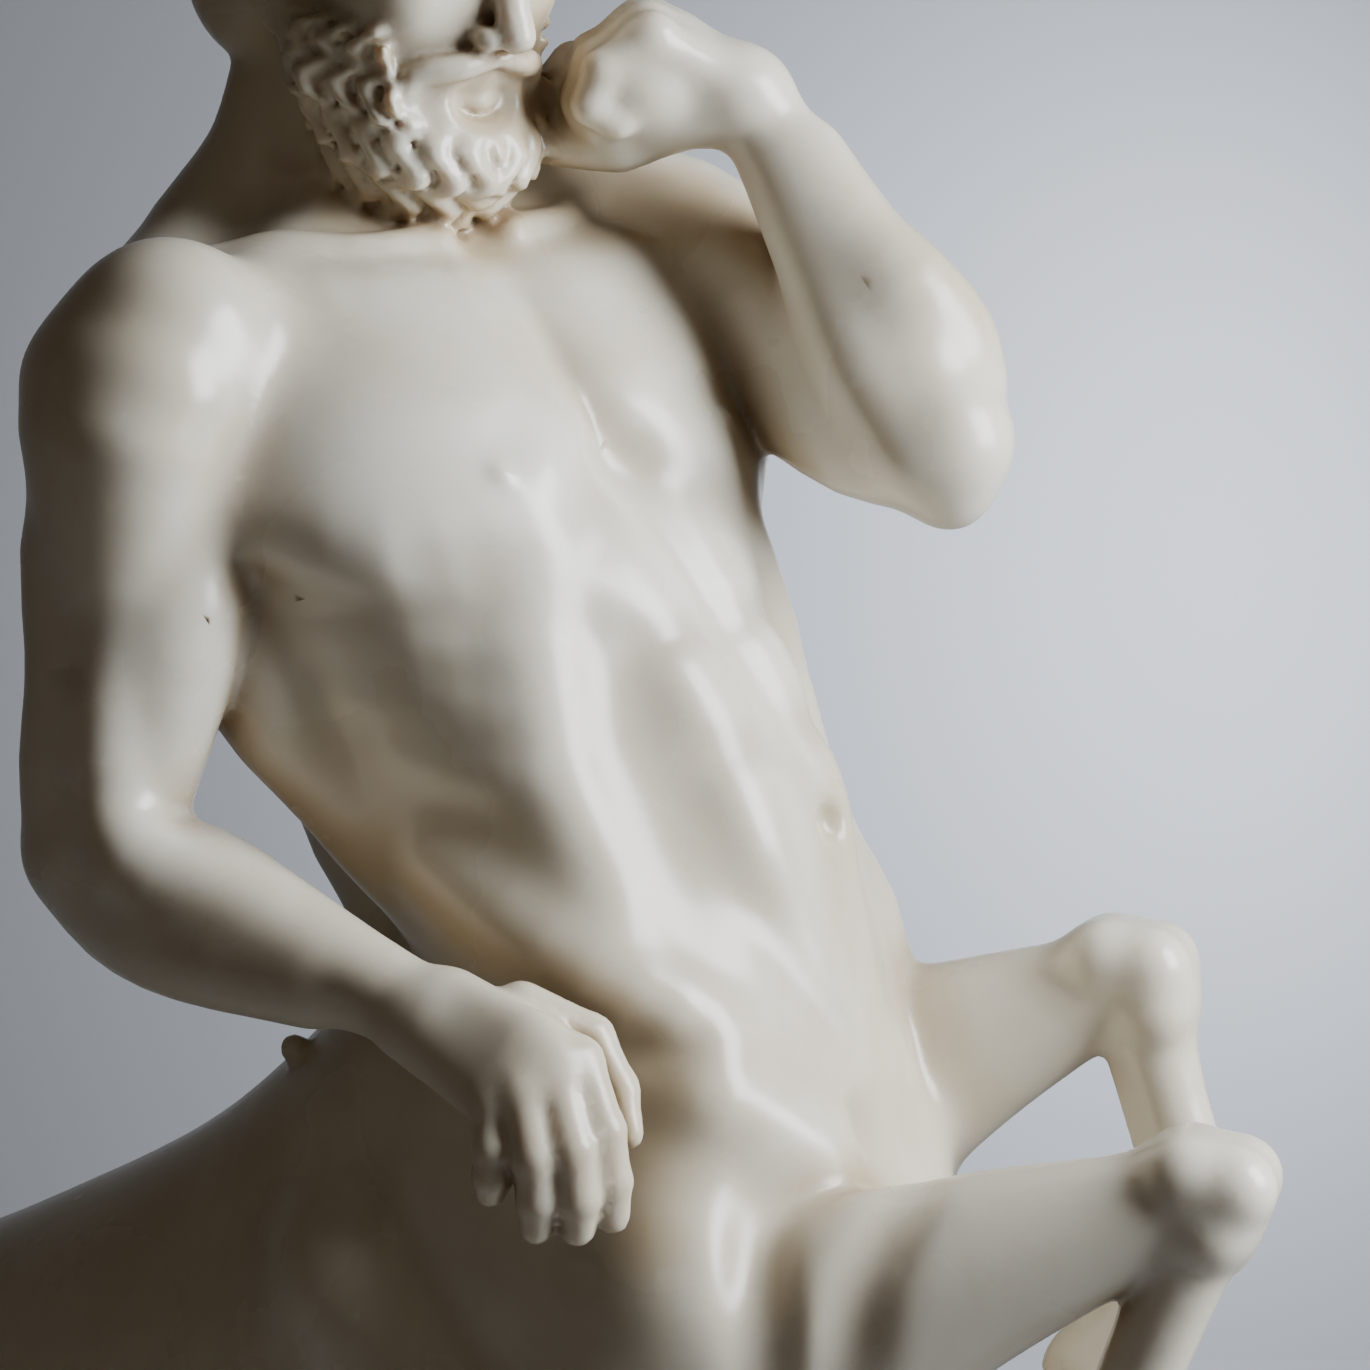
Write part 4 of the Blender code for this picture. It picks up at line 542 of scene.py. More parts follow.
# Arms and hands
def model_arm(clay, mass, shoulder, elbow, wrist, outer, tips, cap=1.0):
    """An arm between its joints. outer points away from the body; tips are the three deltoid roots, and
    cap is how full the deltoid is."""
    upper, fore = unit(elbow - shoulder), unit(wrist - elbow)
    fold = unit(fore - (fore @ upper) * upper)          # the side the elbow folds to
    side = np.cross(upper, fold)
    side = side if side @ outer > 0 else -side
    far = np.linalg.norm(elbow - shoulder)

    def at(t, front=0.0, out=0.0):
        return shoulder + upper * far * t + fold * front + side * out

    def add(form, soft=1.4):
        clay.add(mass, "world", form, soft)

    clay.add(mass + " shoulder", "world", bar([shoulder, at(0.36)], (5.2 * cap, 4.4)), 2.0)
    add(bar([shoulder, at(0.5), elbow], (5.0 * cap, 4.4, 3.6)))
    add(bar([at(0.15, 0.8 * cap), at(0.5, 2.0 * cap, -0.3), at(0.74, 1.9), at(0.95, 1.2)],
            (2.6, 3.7 * cap, 3.1, 1.6)), 1.6)
    add(bar([at(0.1, -1.4, 1.4), at(0.42, -2.5, 1.6), at(0.72, -2.0, 1.0), at(0.98, -1.6)],
            (3.2, 3.5, 2.5, 1.8)), 1.6)
    add(bar([at(0.15, -1.6, -1.6), at(0.48, -2.0, -1.9), at(0.8, -1.4, -1.2)], (3.0, 3.0, 2.0)), 1.6)
    add(bar([at(0.5, 0.6, 2.2), at(0.8, 1.0, 2.4), elbow + fore * 2.0], (1.6, 2.3, 2.2)), 1.6)
    for root, belly in zip(tips, ((1.6, 2.6), (-0.4, 3.2), (-2.6, 2.2))):
        clay.add(mass + " shoulder", "world",
                 bar([root, at(0.10, belly[0] * cap, belly[1] * cap),
                      at(0.36, belly[0] * 0.5, belly[1] * 0.9 * cap),
                      at(0.56, 0, 1.8 * cap)],
                     (2.6 * cap, 3.9 * cap, 3.0 * cap, 1.2)), 3.0)
    clay.joins[mass + " shoulder"] = 4.5
    add(egg(elbow - fold * 1.6 - fore * 1.4, (2.2, 2.2, 2.2)), 2.0)
    for out in (-2.6, 2.5):
        add(egg(elbow + side * out - upper * 0.6, (1.6, 1.6, 1.9)), 2.2)

    # Forearm, from the elbow's bony corners to the flat wrist.
    reach = np.linalg.norm(wrist - elbow)
    back = unit(-upper + (upper @ fore) * fore) * -1.0

    def down(t, front=0.0, out=0.0):
        return elbow + fore * reach * t - back * front + side * out

    add(bar([elbow, down(0.35), down(0.75), wrist], (3.6, 3.5, 2.6, 2.15)))
    add(bar([at(0.84, 0.6, 2.4), down(0.16, 0.9, 2.3), down(0.42, 0.6, 1.5), down(0.85, 0.2, 1.0)],
            (1.5, 2.7, 2.4, 1.2)), 1.5)
    add(bar([elbow - side * 2.4, down(0.22, 0.4, -2.0), down(0.5, 0.3, -1.3), down(0.9, 0, -0.8)],
            (1.7, 2.8, 2.3, 1.2)), 1.5)
    add(bar([elbow - fold * 1.0, down(0.3, -1.6, 0.4), down(0.65, -0.9, 0.3), down(0.95, -0.5, 0.4)],
            (1.8, 2.4, 1.7, 1.1)), 1.5)


def model_hand(clay, mass, wrist, palm_way, fingers, thumb, melt=0.5):
    """A hand: each finger is a row of joints from its knuckle to its tip; palm_way points out of the palm."""
    sizes = ((1.26, 1.18, 1.10, 0.92), (1.26, 1.18, 1.10, 0.92), (1.22, 1.15, 1.06, 0.88),
             (1.12, 1.04, 0.98, 0.84))
    knuckles = [np.asarray(f[0], float) for f in fingers]
    middle = sum(knuckles) / 4
    across = unit(knuckles[0] - knuckles[3])
    for k, (joints, size) in enumerate(zip(fingers, sizes)):
        joints = [np.asarray(j, float) for j in joints]
        root = wrist + across * (1.3 - 0.85 * k)
        clay.add(mass, "world", bar([root, joints[0]], (1.7, 1.3), 0.85, palm_way), 1.6)
        name = f"{mass} finger {k}"
        clay.joins[name] = melt
        for i in range(len(joints) - 1):
            clay.add(name, "world", bar([joints[i], joints[i + 1]], (size[i], size[i + 1])), 0.35)
        for i in range(1, len(joints) - 1):
            clay.add(name, "world", egg(joints[i], (size[i] * 1.01,) * 3), 0.4)
        clay.add(mass, "world", egg(joints[0] - unit(palm_way) * 0.2, (1.12, 1.12, 1.12)), 0.8)
    clay.add(mass, "world", bar([wrist * 0.8 + middle * 0.2, wrist * 0.2 + middle * 0.8], (2.6, 3.2),
                                0.56, palm_way), 1.6)
    thumb = [np.asarray(j, float) for j in thumb]
    for a, b, size in zip(thumb[:-1], thumb[1:], ((1.5, 1.25), (1.2, 1.08), (1.05, 0.78))):
        clay.add(mass, "world", bar([a, b], size), 0.6)


def fill_out(clay, mass, *fills):
    """Extra clay where a limb is fuller than its plain muscles: (line, sizes, how softly it joins)."""
    for line, sizes, soft in fills:
        clay.add(mass, "world", bar(line, sizes), soft)


def model_arms(clay):
    # Right arm: hangs back, bent, with the hand resting on the hip.
    shoulder, elbow, wrist = vec(-17.8, -16.2, 27.0), vec(-20.3, -18.3, -0.2), vec(0.2, -21.4, -6.4)
    roots = [from_trunk(2.4, -10.5, 31.8), from_trunk(-2.0, -15.5, 32.8), from_trunk(-7.6, -13.0, 31.0)]
    model_arm(clay, "right arm", shoulder, elbow, wrist, vec(-0.2, -1, 0.1), roots)
    fill_out(clay, "right arm",
             ([(-21.4, -19.0, 11.0), (-21.9, -19.1, 5.0), (-22.1, -18.5, 0.2)], (2.6, 3.0, 2.8), 1.8),
             ([(-21.4, -18.7, -0.4), (-18.6, -19.4, -2.7), (-14.0, -20.8, -3.9), (-7.0, -21.2, -5.2)],
              (3.0, 3.2, 3.1, 2.4), 1.8))
    fingers = [[(8.3, -20.9, -8.2), (10.0, -21.7, -11.4), (10.3, -21.4, -14.0), (10.2, -21.0, -15.9)],
               [(7.6, -22.3, -8.8), (9.1, -23.3, -12.1), (9.3, -23.0, -14.6), (8.9, -22.3, -16.4)],
               [(6.4, -23.5, -9.4), (7.5, -24.3, -12.5), (7.5, -23.9, -14.7), (7.1, -23.3, -16.3)],
               [(4.9, -23.8, -10.0), (5.3, -24.5, -12.2), (5.2, -24.4, -13.6), (4.9, -24.0, -14.5)]]
    thumb = [(4.4, -19.6, -6.1), (7.5, -17.9, -7.6), (9.1, -18.0, -10.1), (10.0, -18.6, -12.2)]
    model_hand(clay, "right arm", wrist, vec(-0.1, 1, -0.15), fingers, thumb)

    # Left arm: upper arm forward, forearm folded up, loosely closed fist beside the beard.
    shoulder, elbow, wrist = vec(-5.6, 15.0, 31.7), vec(16.2, 7.6, 21.0), vec(4.0, 9.0, 39.4)
    roots = [from_trunk(2.6, 10.0, 31.5), from_trunk(-1.4, 14.6, 32.0), from_trunk(-6.6, 13.0, 30.5)]
    model_arm(clay, "left arm", shoulder, elbow, wrist, vec(0.2, 1, 0.3), roots, cap=0.74)
    fill_out(clay, "left arm",
             ([(16.0, 9.9, 24.2), (15.2, 9.5, 26.4), (13.5, 8.3, 28.8), (10.9, 8.5, 31.6),
               (7.8, 9.2, 35.9)], (2.7, 3.0, 3.0, 2.3, 1.8), 1.8),
             ([(5.0, 10.6, 23.2), (11.2, 8.0, 20.9), (15.5, 7.8, 19.8)], (3.0, 3.2, 2.6), 1.8))
    fingers = [[(-2.6, 9.4, 42.6), (-4.5, 8.1, 41.2), (-5.7, 7.2, 40.9), (-6.3, 6.6, 40.2)],
               [(-1.5, 7.5, 43.0), (-3.8, 6.0, 41.4), (-4.5, 5.3, 39.5), (-3.3, 5.7, 38.3)],
               [(-0.4, 5.5, 42.8), (-2.6, 3.8, 41.1), (-3.2, 3.4, 39.0), (-2.1, 4.3, 38.0)],
               [(0.8, 3.6, 42.4), (-1.3, 1.8, 40.7), (-1.9, 1.6, 38.8), (-0.8, 2.6, 37.8)]]
    thumb = [(1.1, 9.8, 38.0), (-1.3, 7.3, 36.9), (-3.6, 5.4, 36.9), (-5.6, 4.6, 37.3)]
    model_hand(clay, "left arm", wrist, vec(-0.3, 0.1, -1), fingers, thumb, melt=1.4)
    # The fist's own mass, and the hole drilled through it.
    clay.add("left arm", "world", egg((-0.6, 5.7, 39.8), (3.3, 3.9, 2.9)), 1.8)
    fill_out(clay, "left arm", ([(3.7, 8.0, 39.2), (-0.1, 6.6, 38.7)], (2.8, 2.4), 1.6),
             ([(-3.9, 6.9, 40.5), (-2.0, 3.5, 39.9)], (1.5, 1.5), 1.0))
    clay.add("left arm", "world", egg((-2.3, 5.1, 38.4), (2.1, 2.6, 2.2)), 1.2)
    fill_out(clay, "left arm", ([(-2.6, 6.4, 36.9), (-5.4, 5.2, 37.0)], (1.9, 1.7), 1.2),
             ([(-5.6, 6.2, 40.0), (-5.6, 5.4, 38.2)], (1.1, 1.3), 0.8))
    clay.cut("left arm", "world", bar([(0.4, -0.6, 37.8), (-2.9, 5.6, 37.8)], (0.55, 0.5)), 0.2)


# The horse
def model_horse(clay):
    def add(form, soft=2.0, space="world"):
        clay.add("horse", space, form, soft)

    add(bar([(4.5, 0, -24), (-6, 0, -28.5), (-20, 0, -35), (-36, 0, -42), (-50, 0, -46.5), (-61, 0, -50)],
            (13.2, 15.4, 16.5, 16.3, 15.9, 13.6), 0.92, (0, 1, 0)))
    add(bar([(-6, 0, -18), (-20, 0, -27.2), (-34, 0, -35.6)], (12.0, 9.2, 7.2)), 4.0)
    # Haunches, flanks and the shoulders' flat muscle.
    pair = "both sides"
    add(bar([(-46, 6.5, -42), (-56, 7.5, -49), (-62, 7.0, -56)], (9.0, 11.0, 8.5)), 5.0, pair)
    add(bar([(-2, 8.0, -18), (5.5, 9.8, -24), (9.5, 9.0, -29)], (6.0, 6.6, 5.6)), 3.0, pair)
    add(bar([(-9, 9.0, -24), (0, 11.0, -32)], (6.4, 5.6)), 3.5, pair)
    add(bar([(11.5, 3.4, -14), (13.2, 4.0, -22), (11.6, 4.2, -31)], (2.6, 3.9, 3.6)), 2.2, pair)
    for rib in range(7):
        x = -12.0 - 4.2 * rib
        z = -31.0 + 0.47 * (x + 12)
        clay.relief("horse", pair, crease([(x + 2.5, 10.5, z + 9), (x, 15.8, z - 1),
                                           (x + 0.5, 13.0, z - 11)],
                                          1.3, 0.35))
    add(egg((9.2, 12.4, -22.4), (5.6, 4.6, 5.8)), 3.0, pair)
    near = dict(elbow=vec(13.0, -9.6, -25.0), knee=vec(36.4, -4.6, -15.4), fetlock=vec(30.2, -5.4, -33.0),
                toe=vec(23.6, -6.4, -36.0))
    far = dict(elbow=vec(6.0, 9.2, -18.0), knee=vec(25.6, 12.4, -8.0), fetlock=vec(30.0, 12.7, -22.0),
               toe=vec(24.4, 11.8, -30.6))
    for mass, leg in (("right foreleg", near), ("left foreleg", far)):
        model_foreleg(clay, mass, **leg)
        clay.joins[mass] = 2.0
    # Folds where the breast meets the shoulder, and where the raised forearm leaves the breast.
    folds = (((14.6, 11.5, -13.4), (14.4, 11.9, -16.1), (14.8, 13.3, -18.9), (16.1, 15.2, -22.5),
              (16.6, 15.4, -28)),
            ((21.6, 8.4, -15.4), (21.0, 11.9, -18.0), (20.6, 13.4, -20.8), (20.1, 13.6, -25.4),
             (18.6, 13.0, -30)))
    for fold, deep in zip(folds, (-1.6, -1.2)):
        clay.relief("horse", pair, crease(fold, 1.5, deep))
        clay.relief("right foreleg", pair, crease(fold, 1.5, deep))
    for side in (RIGHT, LEFT):
        step = 2.5 * side
        model_hind_leg(clay, "hind legs", stifle=vec(-47 + step, 10.5 * side, -70),
                       hock=vec(-63 + step, 9.6 * side, -85), fetlock=vec(-56.5 + step, 9.6 * side, -98.2),
                       toe=vec(-50.5 + step, 9.6 * side, -104.0), hip=vec(-57, 8 * side, -55))
    clay.joins["hind legs"] = 3.0
    # Tail, from the croup to the ground behind the hooves, in three twisted strands.
    for strand in range(3):
        turn = 2.1 * strand
        rows = [(-70 - 0.08 * k * (6 - k) * 4, 1.6 * math.sin(turn + 0.9 * k),
                 -50 - 9.0 * k) for k in range(7)]
        rows = [vec(x + 1.2 * math.cos(turn + 0.9 * k), y, max(z, GROUND + 1)) for k,
                (x, y, z) in enumerate(rows)]
        clay.add("tail", "world", bar([vec(-63, 0, -46)] + rows, (2.4, 2.7, 3.0, 3.1, 3.0, 2.7, 2.3, 1.8)),
                 0.8)
    clay.joins["tail"] = 1.6
    # Stump left on the back, behind the elbow.
    clay.add("stub", "world", bar([(-14.2, -4.6, -15.4), (-16.6, -5.4, -12.6)], (1.15, 0.8)), 0.5)
    clay.joins["stub"] = 0.8


def model_hoof(clay, mass, fetlock, toe):
    """Pastern and hoof: the hoof flares from its crown to a flat sole."""
    way = unit(toe - fetlock)
    crown = fetlock * 0.35 + toe * 0.65
    clay.add(mass, "world", egg(fetlock, (2.7, 2.5, 2.7)), 1.2)
    clay.add(mass, "world", bar([fetlock, crown], (2.2, 2.3)), 1.2)
    clay.add(mass, "world", bar([crown - way * 0.3, toe], (2.7, 3.5)), 0.5)
    clay.cut(mass, "world", egg(toe + way * 9.6, (8.6, 8.6, 8.6)), 0.3)


def model_foreleg(clay, mass, elbow, knee, fetlock, toe):
    way, shin = unit(knee - elbow), unit(fetlock - knee)
    front = unit(-shin + (shin @ way) * way)            # the upper side of the raised forearm
    out = np.cross(way, front)

    def at(t, lift=0.0, side=0.0):
        return elbow + (knee - elbow) * t + front * lift + out * side

    def add(form, soft=1.6):
        clay.add(mass, "world", form, soft)

    add(bar([at(-0.25), at(0.1), at(0.45, 0.2), at(0.8), at(0.97)], (7.0, 6.2, 4.9, 3.4, 3.0), pieces=24))
    add(bar([at(-0.1, 1.8), at(0.3, 1.9), at(0.72, 1.0)], (4.0, 3.3, 1.9)), 2.0)
    add(bar([at(-0.1, -2.8), at(0.28, -2.5), at(0.68, -1.3)], (5.0, 3.6, 1.7)), 2.0)
    # The knee is a squarish block of small bones.
    add(bar([at(0.93, 0.3), knee + shin * 1.6 + way * 0.3], (2.9, 2.8), 0.9, out), 1.2)
    for side in (-1.5, 1.5):
        add(egg(knee + front * 1.4 - way * 0.9 + out * side, (2.0, 2.0, 2.0)), 1.8)
        add(egg(knee + way * 1.3 - front * 0.1 + out * side * 0.9, (2.1, 2.1, 2.1)), 1.8)
        add(egg(knee + shin * 2.4 + way * 0.8 + out * side, (1.8, 1.8, 1.8)), 1.8)
    add(egg(knee - way * 1.9 + shin * 1.6, (1.7, 1.7, 1.9)), 1.2)
    add(bar([knee + shin * 1.5, knee * 0.5 + fetlock * 0.5, fetlock], (2.6, 2.0, 2.1)), 1.4)
    add(bar([knee + shin * 2.5 - way * 1.7, fetlock - way * 1.5], (1.1, 1.2)), 0.6)
    model_hoof(clay, mass, fetlock, toe)


def model_hind_leg(clay, mass, hip, stifle, hock, fetlock, toe):
    def add(form, soft=2.0):
        clay.add(mass, "world", form, soft)

    add(bar([hip, hip * 0.5 + stifle * 0.5 + vec(1, 0, 0), stifle], (12.0, 10.4, 7.0)), 3.0)
    add(bar([hip + vec(-5, 0, -3), stifle + vec(-9, 0, -2), hock * 0.6 + stifle * 0.4], (9.0, 7.2, 3.6)),
        3.0)
    add(bar([stifle, stifle * 0.5 + hock * 0.5, hock], (6.8, 5.6, 3.7)))
    add(bar([hock + vec(-2.2, 0, 2.4), hock + vec(-0.4, 0, -1.6)], (1.9, 2.6)), 1.2)
    add(bar([stifle * 0.3 + hock * 0.7 + vec(-3.4, 0, 2.2), hock + vec(-2.4, 0, 2.6)], (1.2, 1.5)), 1.4)
    add(bar([hock, hock * 0.5 + fetlock * 0.5, fetlock], (3.4, 2.7, 2.6)), 1.4)
    model_hoof(clay, mass, fetlock, toe)


# The stump and the ground
def model_support(clay):
    """A lopped tree stump under the belly, and an uneven slab of ground."""
    foot, top = vec(-17, 0, GROUND - 1), vec(-21, 0, -48)
    clay.add("stump", "world", bar([foot, foot * 0.5 + top * 0.5 + vec(1.5, 0.8, 0), top],
                                   (8.4, 6.4, 6.2)), 1.0)
    for k in range(5):
        turn = 1.26 * k + 0.4
        way = vec(math.cos(turn), math.sin(turn), 0)
        clay.add("stump", "world", bar([foot + way * 11, foot + way * 6.5 + vec(0, 0, 6),
                                        foot + way * 4.4 + vec(0, 0, 18)], (1.8, 2.6, 1.4)), 2.4)
    for height, turn in ((22, -1.2), (34, 1.9)):
        way = vec(math.cos(turn), math.sin(turn), 0.5)
        knot = foot + vec(1, 0, height)
        clay.add("stump", "world", bar([knot + way * 3, knot + way * 8.5], (2.9, 2.3)), 1.4)
    clay.joins["stump"] = 2.5
    for mass in ("stump", "tail", "hind legs"):
        clay.cut(mass, "world", everything_below(GROUND - 2.0), 0.3)

    half = vec(SLAB_LENGTH, SLAB_WIDTH, SLAB_THICKNESS) / STATUE_SCALE / 2
    middle = vec(SLAB_MIDDLE, 0, GROUND - half[2])
    corner = 3.0

    def slab(p):
        q = np.abs(p - middle) - half + vec(corner, corner, 0.8)
        round_off = length(np.maximum(q, 0)) + np.minimum(q.max(1), 0) - 0.8
        swell = 0.5 * np.sin(p[:, 0] * 0.31) * np.cos(p[:, 1] * 0.4)
        return round_off - np.where(p[:, 2] > middle[2], swell, 0)
    clay.add("ground", "world", (slab, middle, np.linalg.norm(half)), 0.6)
    clay.joins["ground"] = 1.8


# A closed skin round the clay
CORNERS = [(i, j, k) for i in (0, 1) for j in (0, 1) for k in (0, 1)]


def sample(clay, axes, block=8):
    """The clay's depth on the grid of the three axes, worked out only near the surface."""
    count = [len(axis) // block for axis in axes]
    grid = np.empty([n * block for n in count])
    for i in range(count[0]):
        for j in range(count[1]):
            column, spans = [], []
            for k in range(count[2]):
                span = [axis[n * block:n * block + block] for axis, n in zip(axes, (i, j, k))]
                spans.append(span)
                column.append([(s[0] + s[-1]) / 2 for s in span])
            size = np.array([[s[-1] - s[0] for s in span] for span in spans])
            ball = np.linalg.norm(size, axis=1) / 2 + size.max(1) / (block - 1)
            coarse = clay.depth(np.array(column), 2.2 * ball.max() + 4)
            for k, span in enumerate(spans):
                at = tuple(slice(n * block, n * block + block) for n in (i, j, k))
                if abs(coarse[k]) > 1.25 * ball[k] + 1.5:
                    grid[at] = coarse[k]
                    continue
                p = np.stack(np.meshgrid(*span, indexing="ij"), -1).reshape(-1, 3)
                grid[at] = clay.depth(p, 3 * (span[0][1] - span[0][0])).reshape(block, block, block)
    return grid


def settle(inside):
    """Flips the few grid corners that would make the skin touch itself."""
    for _ in range(12):
        changed = False
        for axis in range(3):
            s = np.moveaxis(inside, axis, 0)
            a, b, c, d = s[:, :-1, :-1], s[:, 1:, :-1], s[:, :-1, 1:], s[:, 1:, 1:]
            bad = (a == d) & (b == c) & (a != b)
            if bad.any():
                changed = True
                k, i, j = np.nonzero(bad)
                s[k, i, j] = True
                s[k, i + 1, j] = True
                s[k, i, j + 1] = True
                s[k, i + 1, j + 1] = True
        n = np.array(inside.shape) - 1
        corner = {(i, j, k): inside[i:n[0] + i, j:n[1] + j, k:n[2] + k] for i, j, k in CORNERS}
        total = sum(part.astype(np.int8) for part in corner.values())
        for i, j in ((0, 0), (0, 1), (1, 0), (1, 1)):
            a, b = corner[i, j, 0], corner[1 - i, 1 - j, 1]
            bad = (a == b) & (total == np.where(a, 2, 6))
            if bad.any():
                changed = True
                for part in corner.values():
                    part[bad] = True
        if not changed:
            break
    return inside


def skin(grid, axes):
    """One vertex in each cell that the surface passes, joined into quads facing out."""
    inside = settle(grid < 0)
    value = np.where(inside, np.minimum(grid, -1e-3), np.maximum(grid, 1e-3))
    n = np.array(grid.shape) - 1
    total = np.zeros(n, np.int8)
    for i, j, k in CORNERS:
        total += inside[i:n[0] + i, j:n[1] + j, k:n[2] + k]
    cells = np.argwhere((total > 0) & (total < 8))
    number = np.full(n, -1, np.int32)
    number[tuple(cells.T)] = np.arange(len(cells))
    sums, hits = np.zeros((len(cells), 3)), np.zeros(len(cells))
    for axis in range(3):
        step = np.eye(3, dtype=int)[axis]
        others = [k for k in range(3) if k != axis]
        for u in (0, 1):
            for v in (0, 1):
                corner = cells.copy()
                corner[:, others[0]] += u
                corner[:, others[1]] += v
                a, b = value[tuple(corner.T)], value[tuple((corner + step).T)]
                cross = (a < 0) != (b < 0)
                t = np.clip(a / np.where(cross, a - b, 1), 0.02, 0.98)
                sums += np.where(cross[:, None], corner + t[:, None] * step, 0)
                hits += cross
    sums /= hits[:, None]
    points = np.column_stack([np.interp(sums[:, k], np.arange(len(axes[k])), axes[k]) for k in range(3)])
    quads = []
    for axis in range(3):
        step = np.eye(3, dtype=int)[axis]
        u, v = np.eye(3, dtype=int)[(axis + 1) % 3], np.eye(3, dtype=int)[(axis + 2) % 3]
        a = inside[tuple(slice(1, -1) if k != axis else slice(0, -1) for k in range(3))]
        b = inside[tuple(slice(1, -1) if k != axis else slice(1, None) for k in range(3))]
        edge = np.argwhere(a != b) + (1 - step)
        ring = [number[tuple((edge - du * u - dv * v).T)] for du, dv in ((0, 0), (1, 0), (1, 1), (0, 1))]
        ring = np.column_stack(ring)
        leaving = inside[tuple(edge.T)]
        ring[~leaving] = ring[~leaving][:, ::-1]
        quads.append(ring)
    return points, np.vstack(quads)


WAIST = vec(-SLAB_MIDDLE, 0, -GROUND) * STATUE_SCALE + vec(0, 0, carving_low.z + SLAB_THICKNESS)


def to_statue(points):
    """Life-size centimetres about the waist turned into metres, standing on the plinth."""
    return np.asarray(points) * STATUE_SCALE + WAIST


def to_life(points):
    return (np.asarray(points) - WAIST) / STATUE_SCALE


def work_clay():
    clay = Clay()
    model_trunk(clay)
    model_neck(clay)
    model_head(clay)
    model_arms(clay)
    model_horse(clay)
    model_support(clay)
    clay.joins.update({"head": 1.0, "right arm": 1.3, "left arm": 1.3, "horse": 6.0})
    return clay


def uneven_axis(low, high, fine_from, fine_to, fine, coarse, block=8):
    """Grid lines that stand closer between fine_from and fine_to, in whole blocks."""
    lines = [low]
    while lines[-1] < high or len(lines) % block:
        off = max(fine_from - lines[-1], lines[-1] - fine_to, 0.0)
        lines.append(lines[-1] + fine + (coarse - fine) * min(off / 8.0, 1.0))
    return np.array(lines)


FINE, COARSE = ((0.30, 0.62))
skin_axes = [uneven_axis(-84, 46, -30, 40, FINE, COARSE), uneven_axis(-30, 30, -27, 27, FINE, COARSE),
             uneven_axis(GROUND - SLAB_THICKNESS / STATUE_SCALE - 3, 66, -40, 62, FINE, COARSE)]
clay = work_clay()
depths = sample(clay, skin_axes)
places, quads = skin(depths, skin_axes)


def in_grid(places):
    """Depth read back from the grid at any places, by mixing the eight nearest lines."""
    at = [np.clip(np.interp(places[:, k], skin_axes[k], np.arange(len(skin_axes[k]))), 0,
                  len(skin_axes[k]) - 1.001) for k in range(3)]
    whole = [a.astype(int) for a in at]
    part = [a - w for a, w in zip(at, whole)]
    total = 0
    for corner in CORNERS:
        weight = np.prod([p if d else 1 - p for p, d in zip(part, corner)], axis=0)
        total = total + weight * depths[tuple(w + d for w, d in zip(whole, corner))]
    return total


def closed_mesh(name, places, faces):
    mesh = bpy.data.meshes.new(name)
    mesh.vertices.add(len(places))
    mesh.vertices.foreach_set("co", np.asarray(places, np.float32).ravel())
    mesh.loops.add(faces.size)
    mesh.loops.foreach_set("vertex_index", faces.astype(np.int32).ravel())
    mesh.polygons.add(len(faces))
    mesh.polygons.foreach_set("loop_start", np.arange(0, faces.size, faces.shape[1], dtype=np.int32))
    mesh.update(calc_edges=True)
    mesh.validate()
    return mesh


def in_scene(name, data):
    made = bpy.data.objects.new(name, data)
    bpy.context.scene.collection.objects.link(made)
    return made


def evaluated_mesh(made, name):
    """Turns an object's modifiers into its own plain mesh."""
    bpy.context.view_layer.update()
    plain = bpy.data.meshes.new_from_object(made.evaluated_get(bpy.context.evaluated_depsgraph_get()))
    made.modifiers.clear()
    made.data = plain
    plain.name = name
    return plain


centaur = in_scene("marble_centaur", closed_mesh("marble_centaur", to_statue(places), quads))

# The side that the photograph shows keeps more of the skin's triangles than the far side and the legs.
TRIANGLES = 196000
CAMERA_TURN, CAMERA_RISE = math.radians(25), math.radians(8)
CAMERA_SIDE = vec(math.sin(CAMERA_TURN), -math.cos(CAMERA_TURN), 0.14)
flow = np.empty(3 * len(places), np.float32)
centaur.data.vertices.foreach_get("normal", flow)
facing = flow.reshape(-1, 3) @ CAMERA_SIDE
shown = np.clip(0.6 + facing * 1.2, 0.1, 1) * np.clip((places[:, 2] + 40) / 10, 0.1, 1) \
    * np.clip((places[:, 0] + 45) / 12, 0.1, 1)
detail = centaur.vertex_groups.new(name="plain")
for level in range(10):
    chosen = np.flatnonzero(np.clip((shown * 10).astype(int), 0, 9) == level)
    detail.add(chosen.tolist(), 1 - (level + 0.5) / 10, "REPLACE")
thin = centaur.modifiers.new("thin", "DECIMATE")
thin.ratio = min(1.0, TRIANGLES / (2 * len(quads)))
thin.vertex_group = "plain"
thin.vertex_group_factor = 0.00002
thin.use_collapse_triangulate = True
thinned = evaluated_mesh(centaur, "marble_centaur")
centaur.vertex_groups.clear()
thinned.polygons.foreach_set("use_smooth", [True] * len(thinned.polygons))

# How hollow the carving is at each vertex: the clay that stands close round it, near and wider. These two
# masks drive the painted shade laid into the marble's colour.
count = len(thinned.vertices)
spots, ways = np.empty(3 * count, np.float32), np.empty(3 * count, np.float32)
thinned.vertices.foreach_get("co", spots)
thinned.vertices.foreach_get("normal", ways)
spots, ways = to_life(spots.reshape(-1, 3)), ways.reshape(-1, 3)
for name, out in (("hollow", 0.8), ("shelter", 3.5)):
    closed_in = np.clip(1 - in_grid(spots + ways * out) / out, -1, 1).astype(np.float32)
    thinned.attributes.new(name, "FLOAT", "POINT").data.foreach_set("value", closed_in)


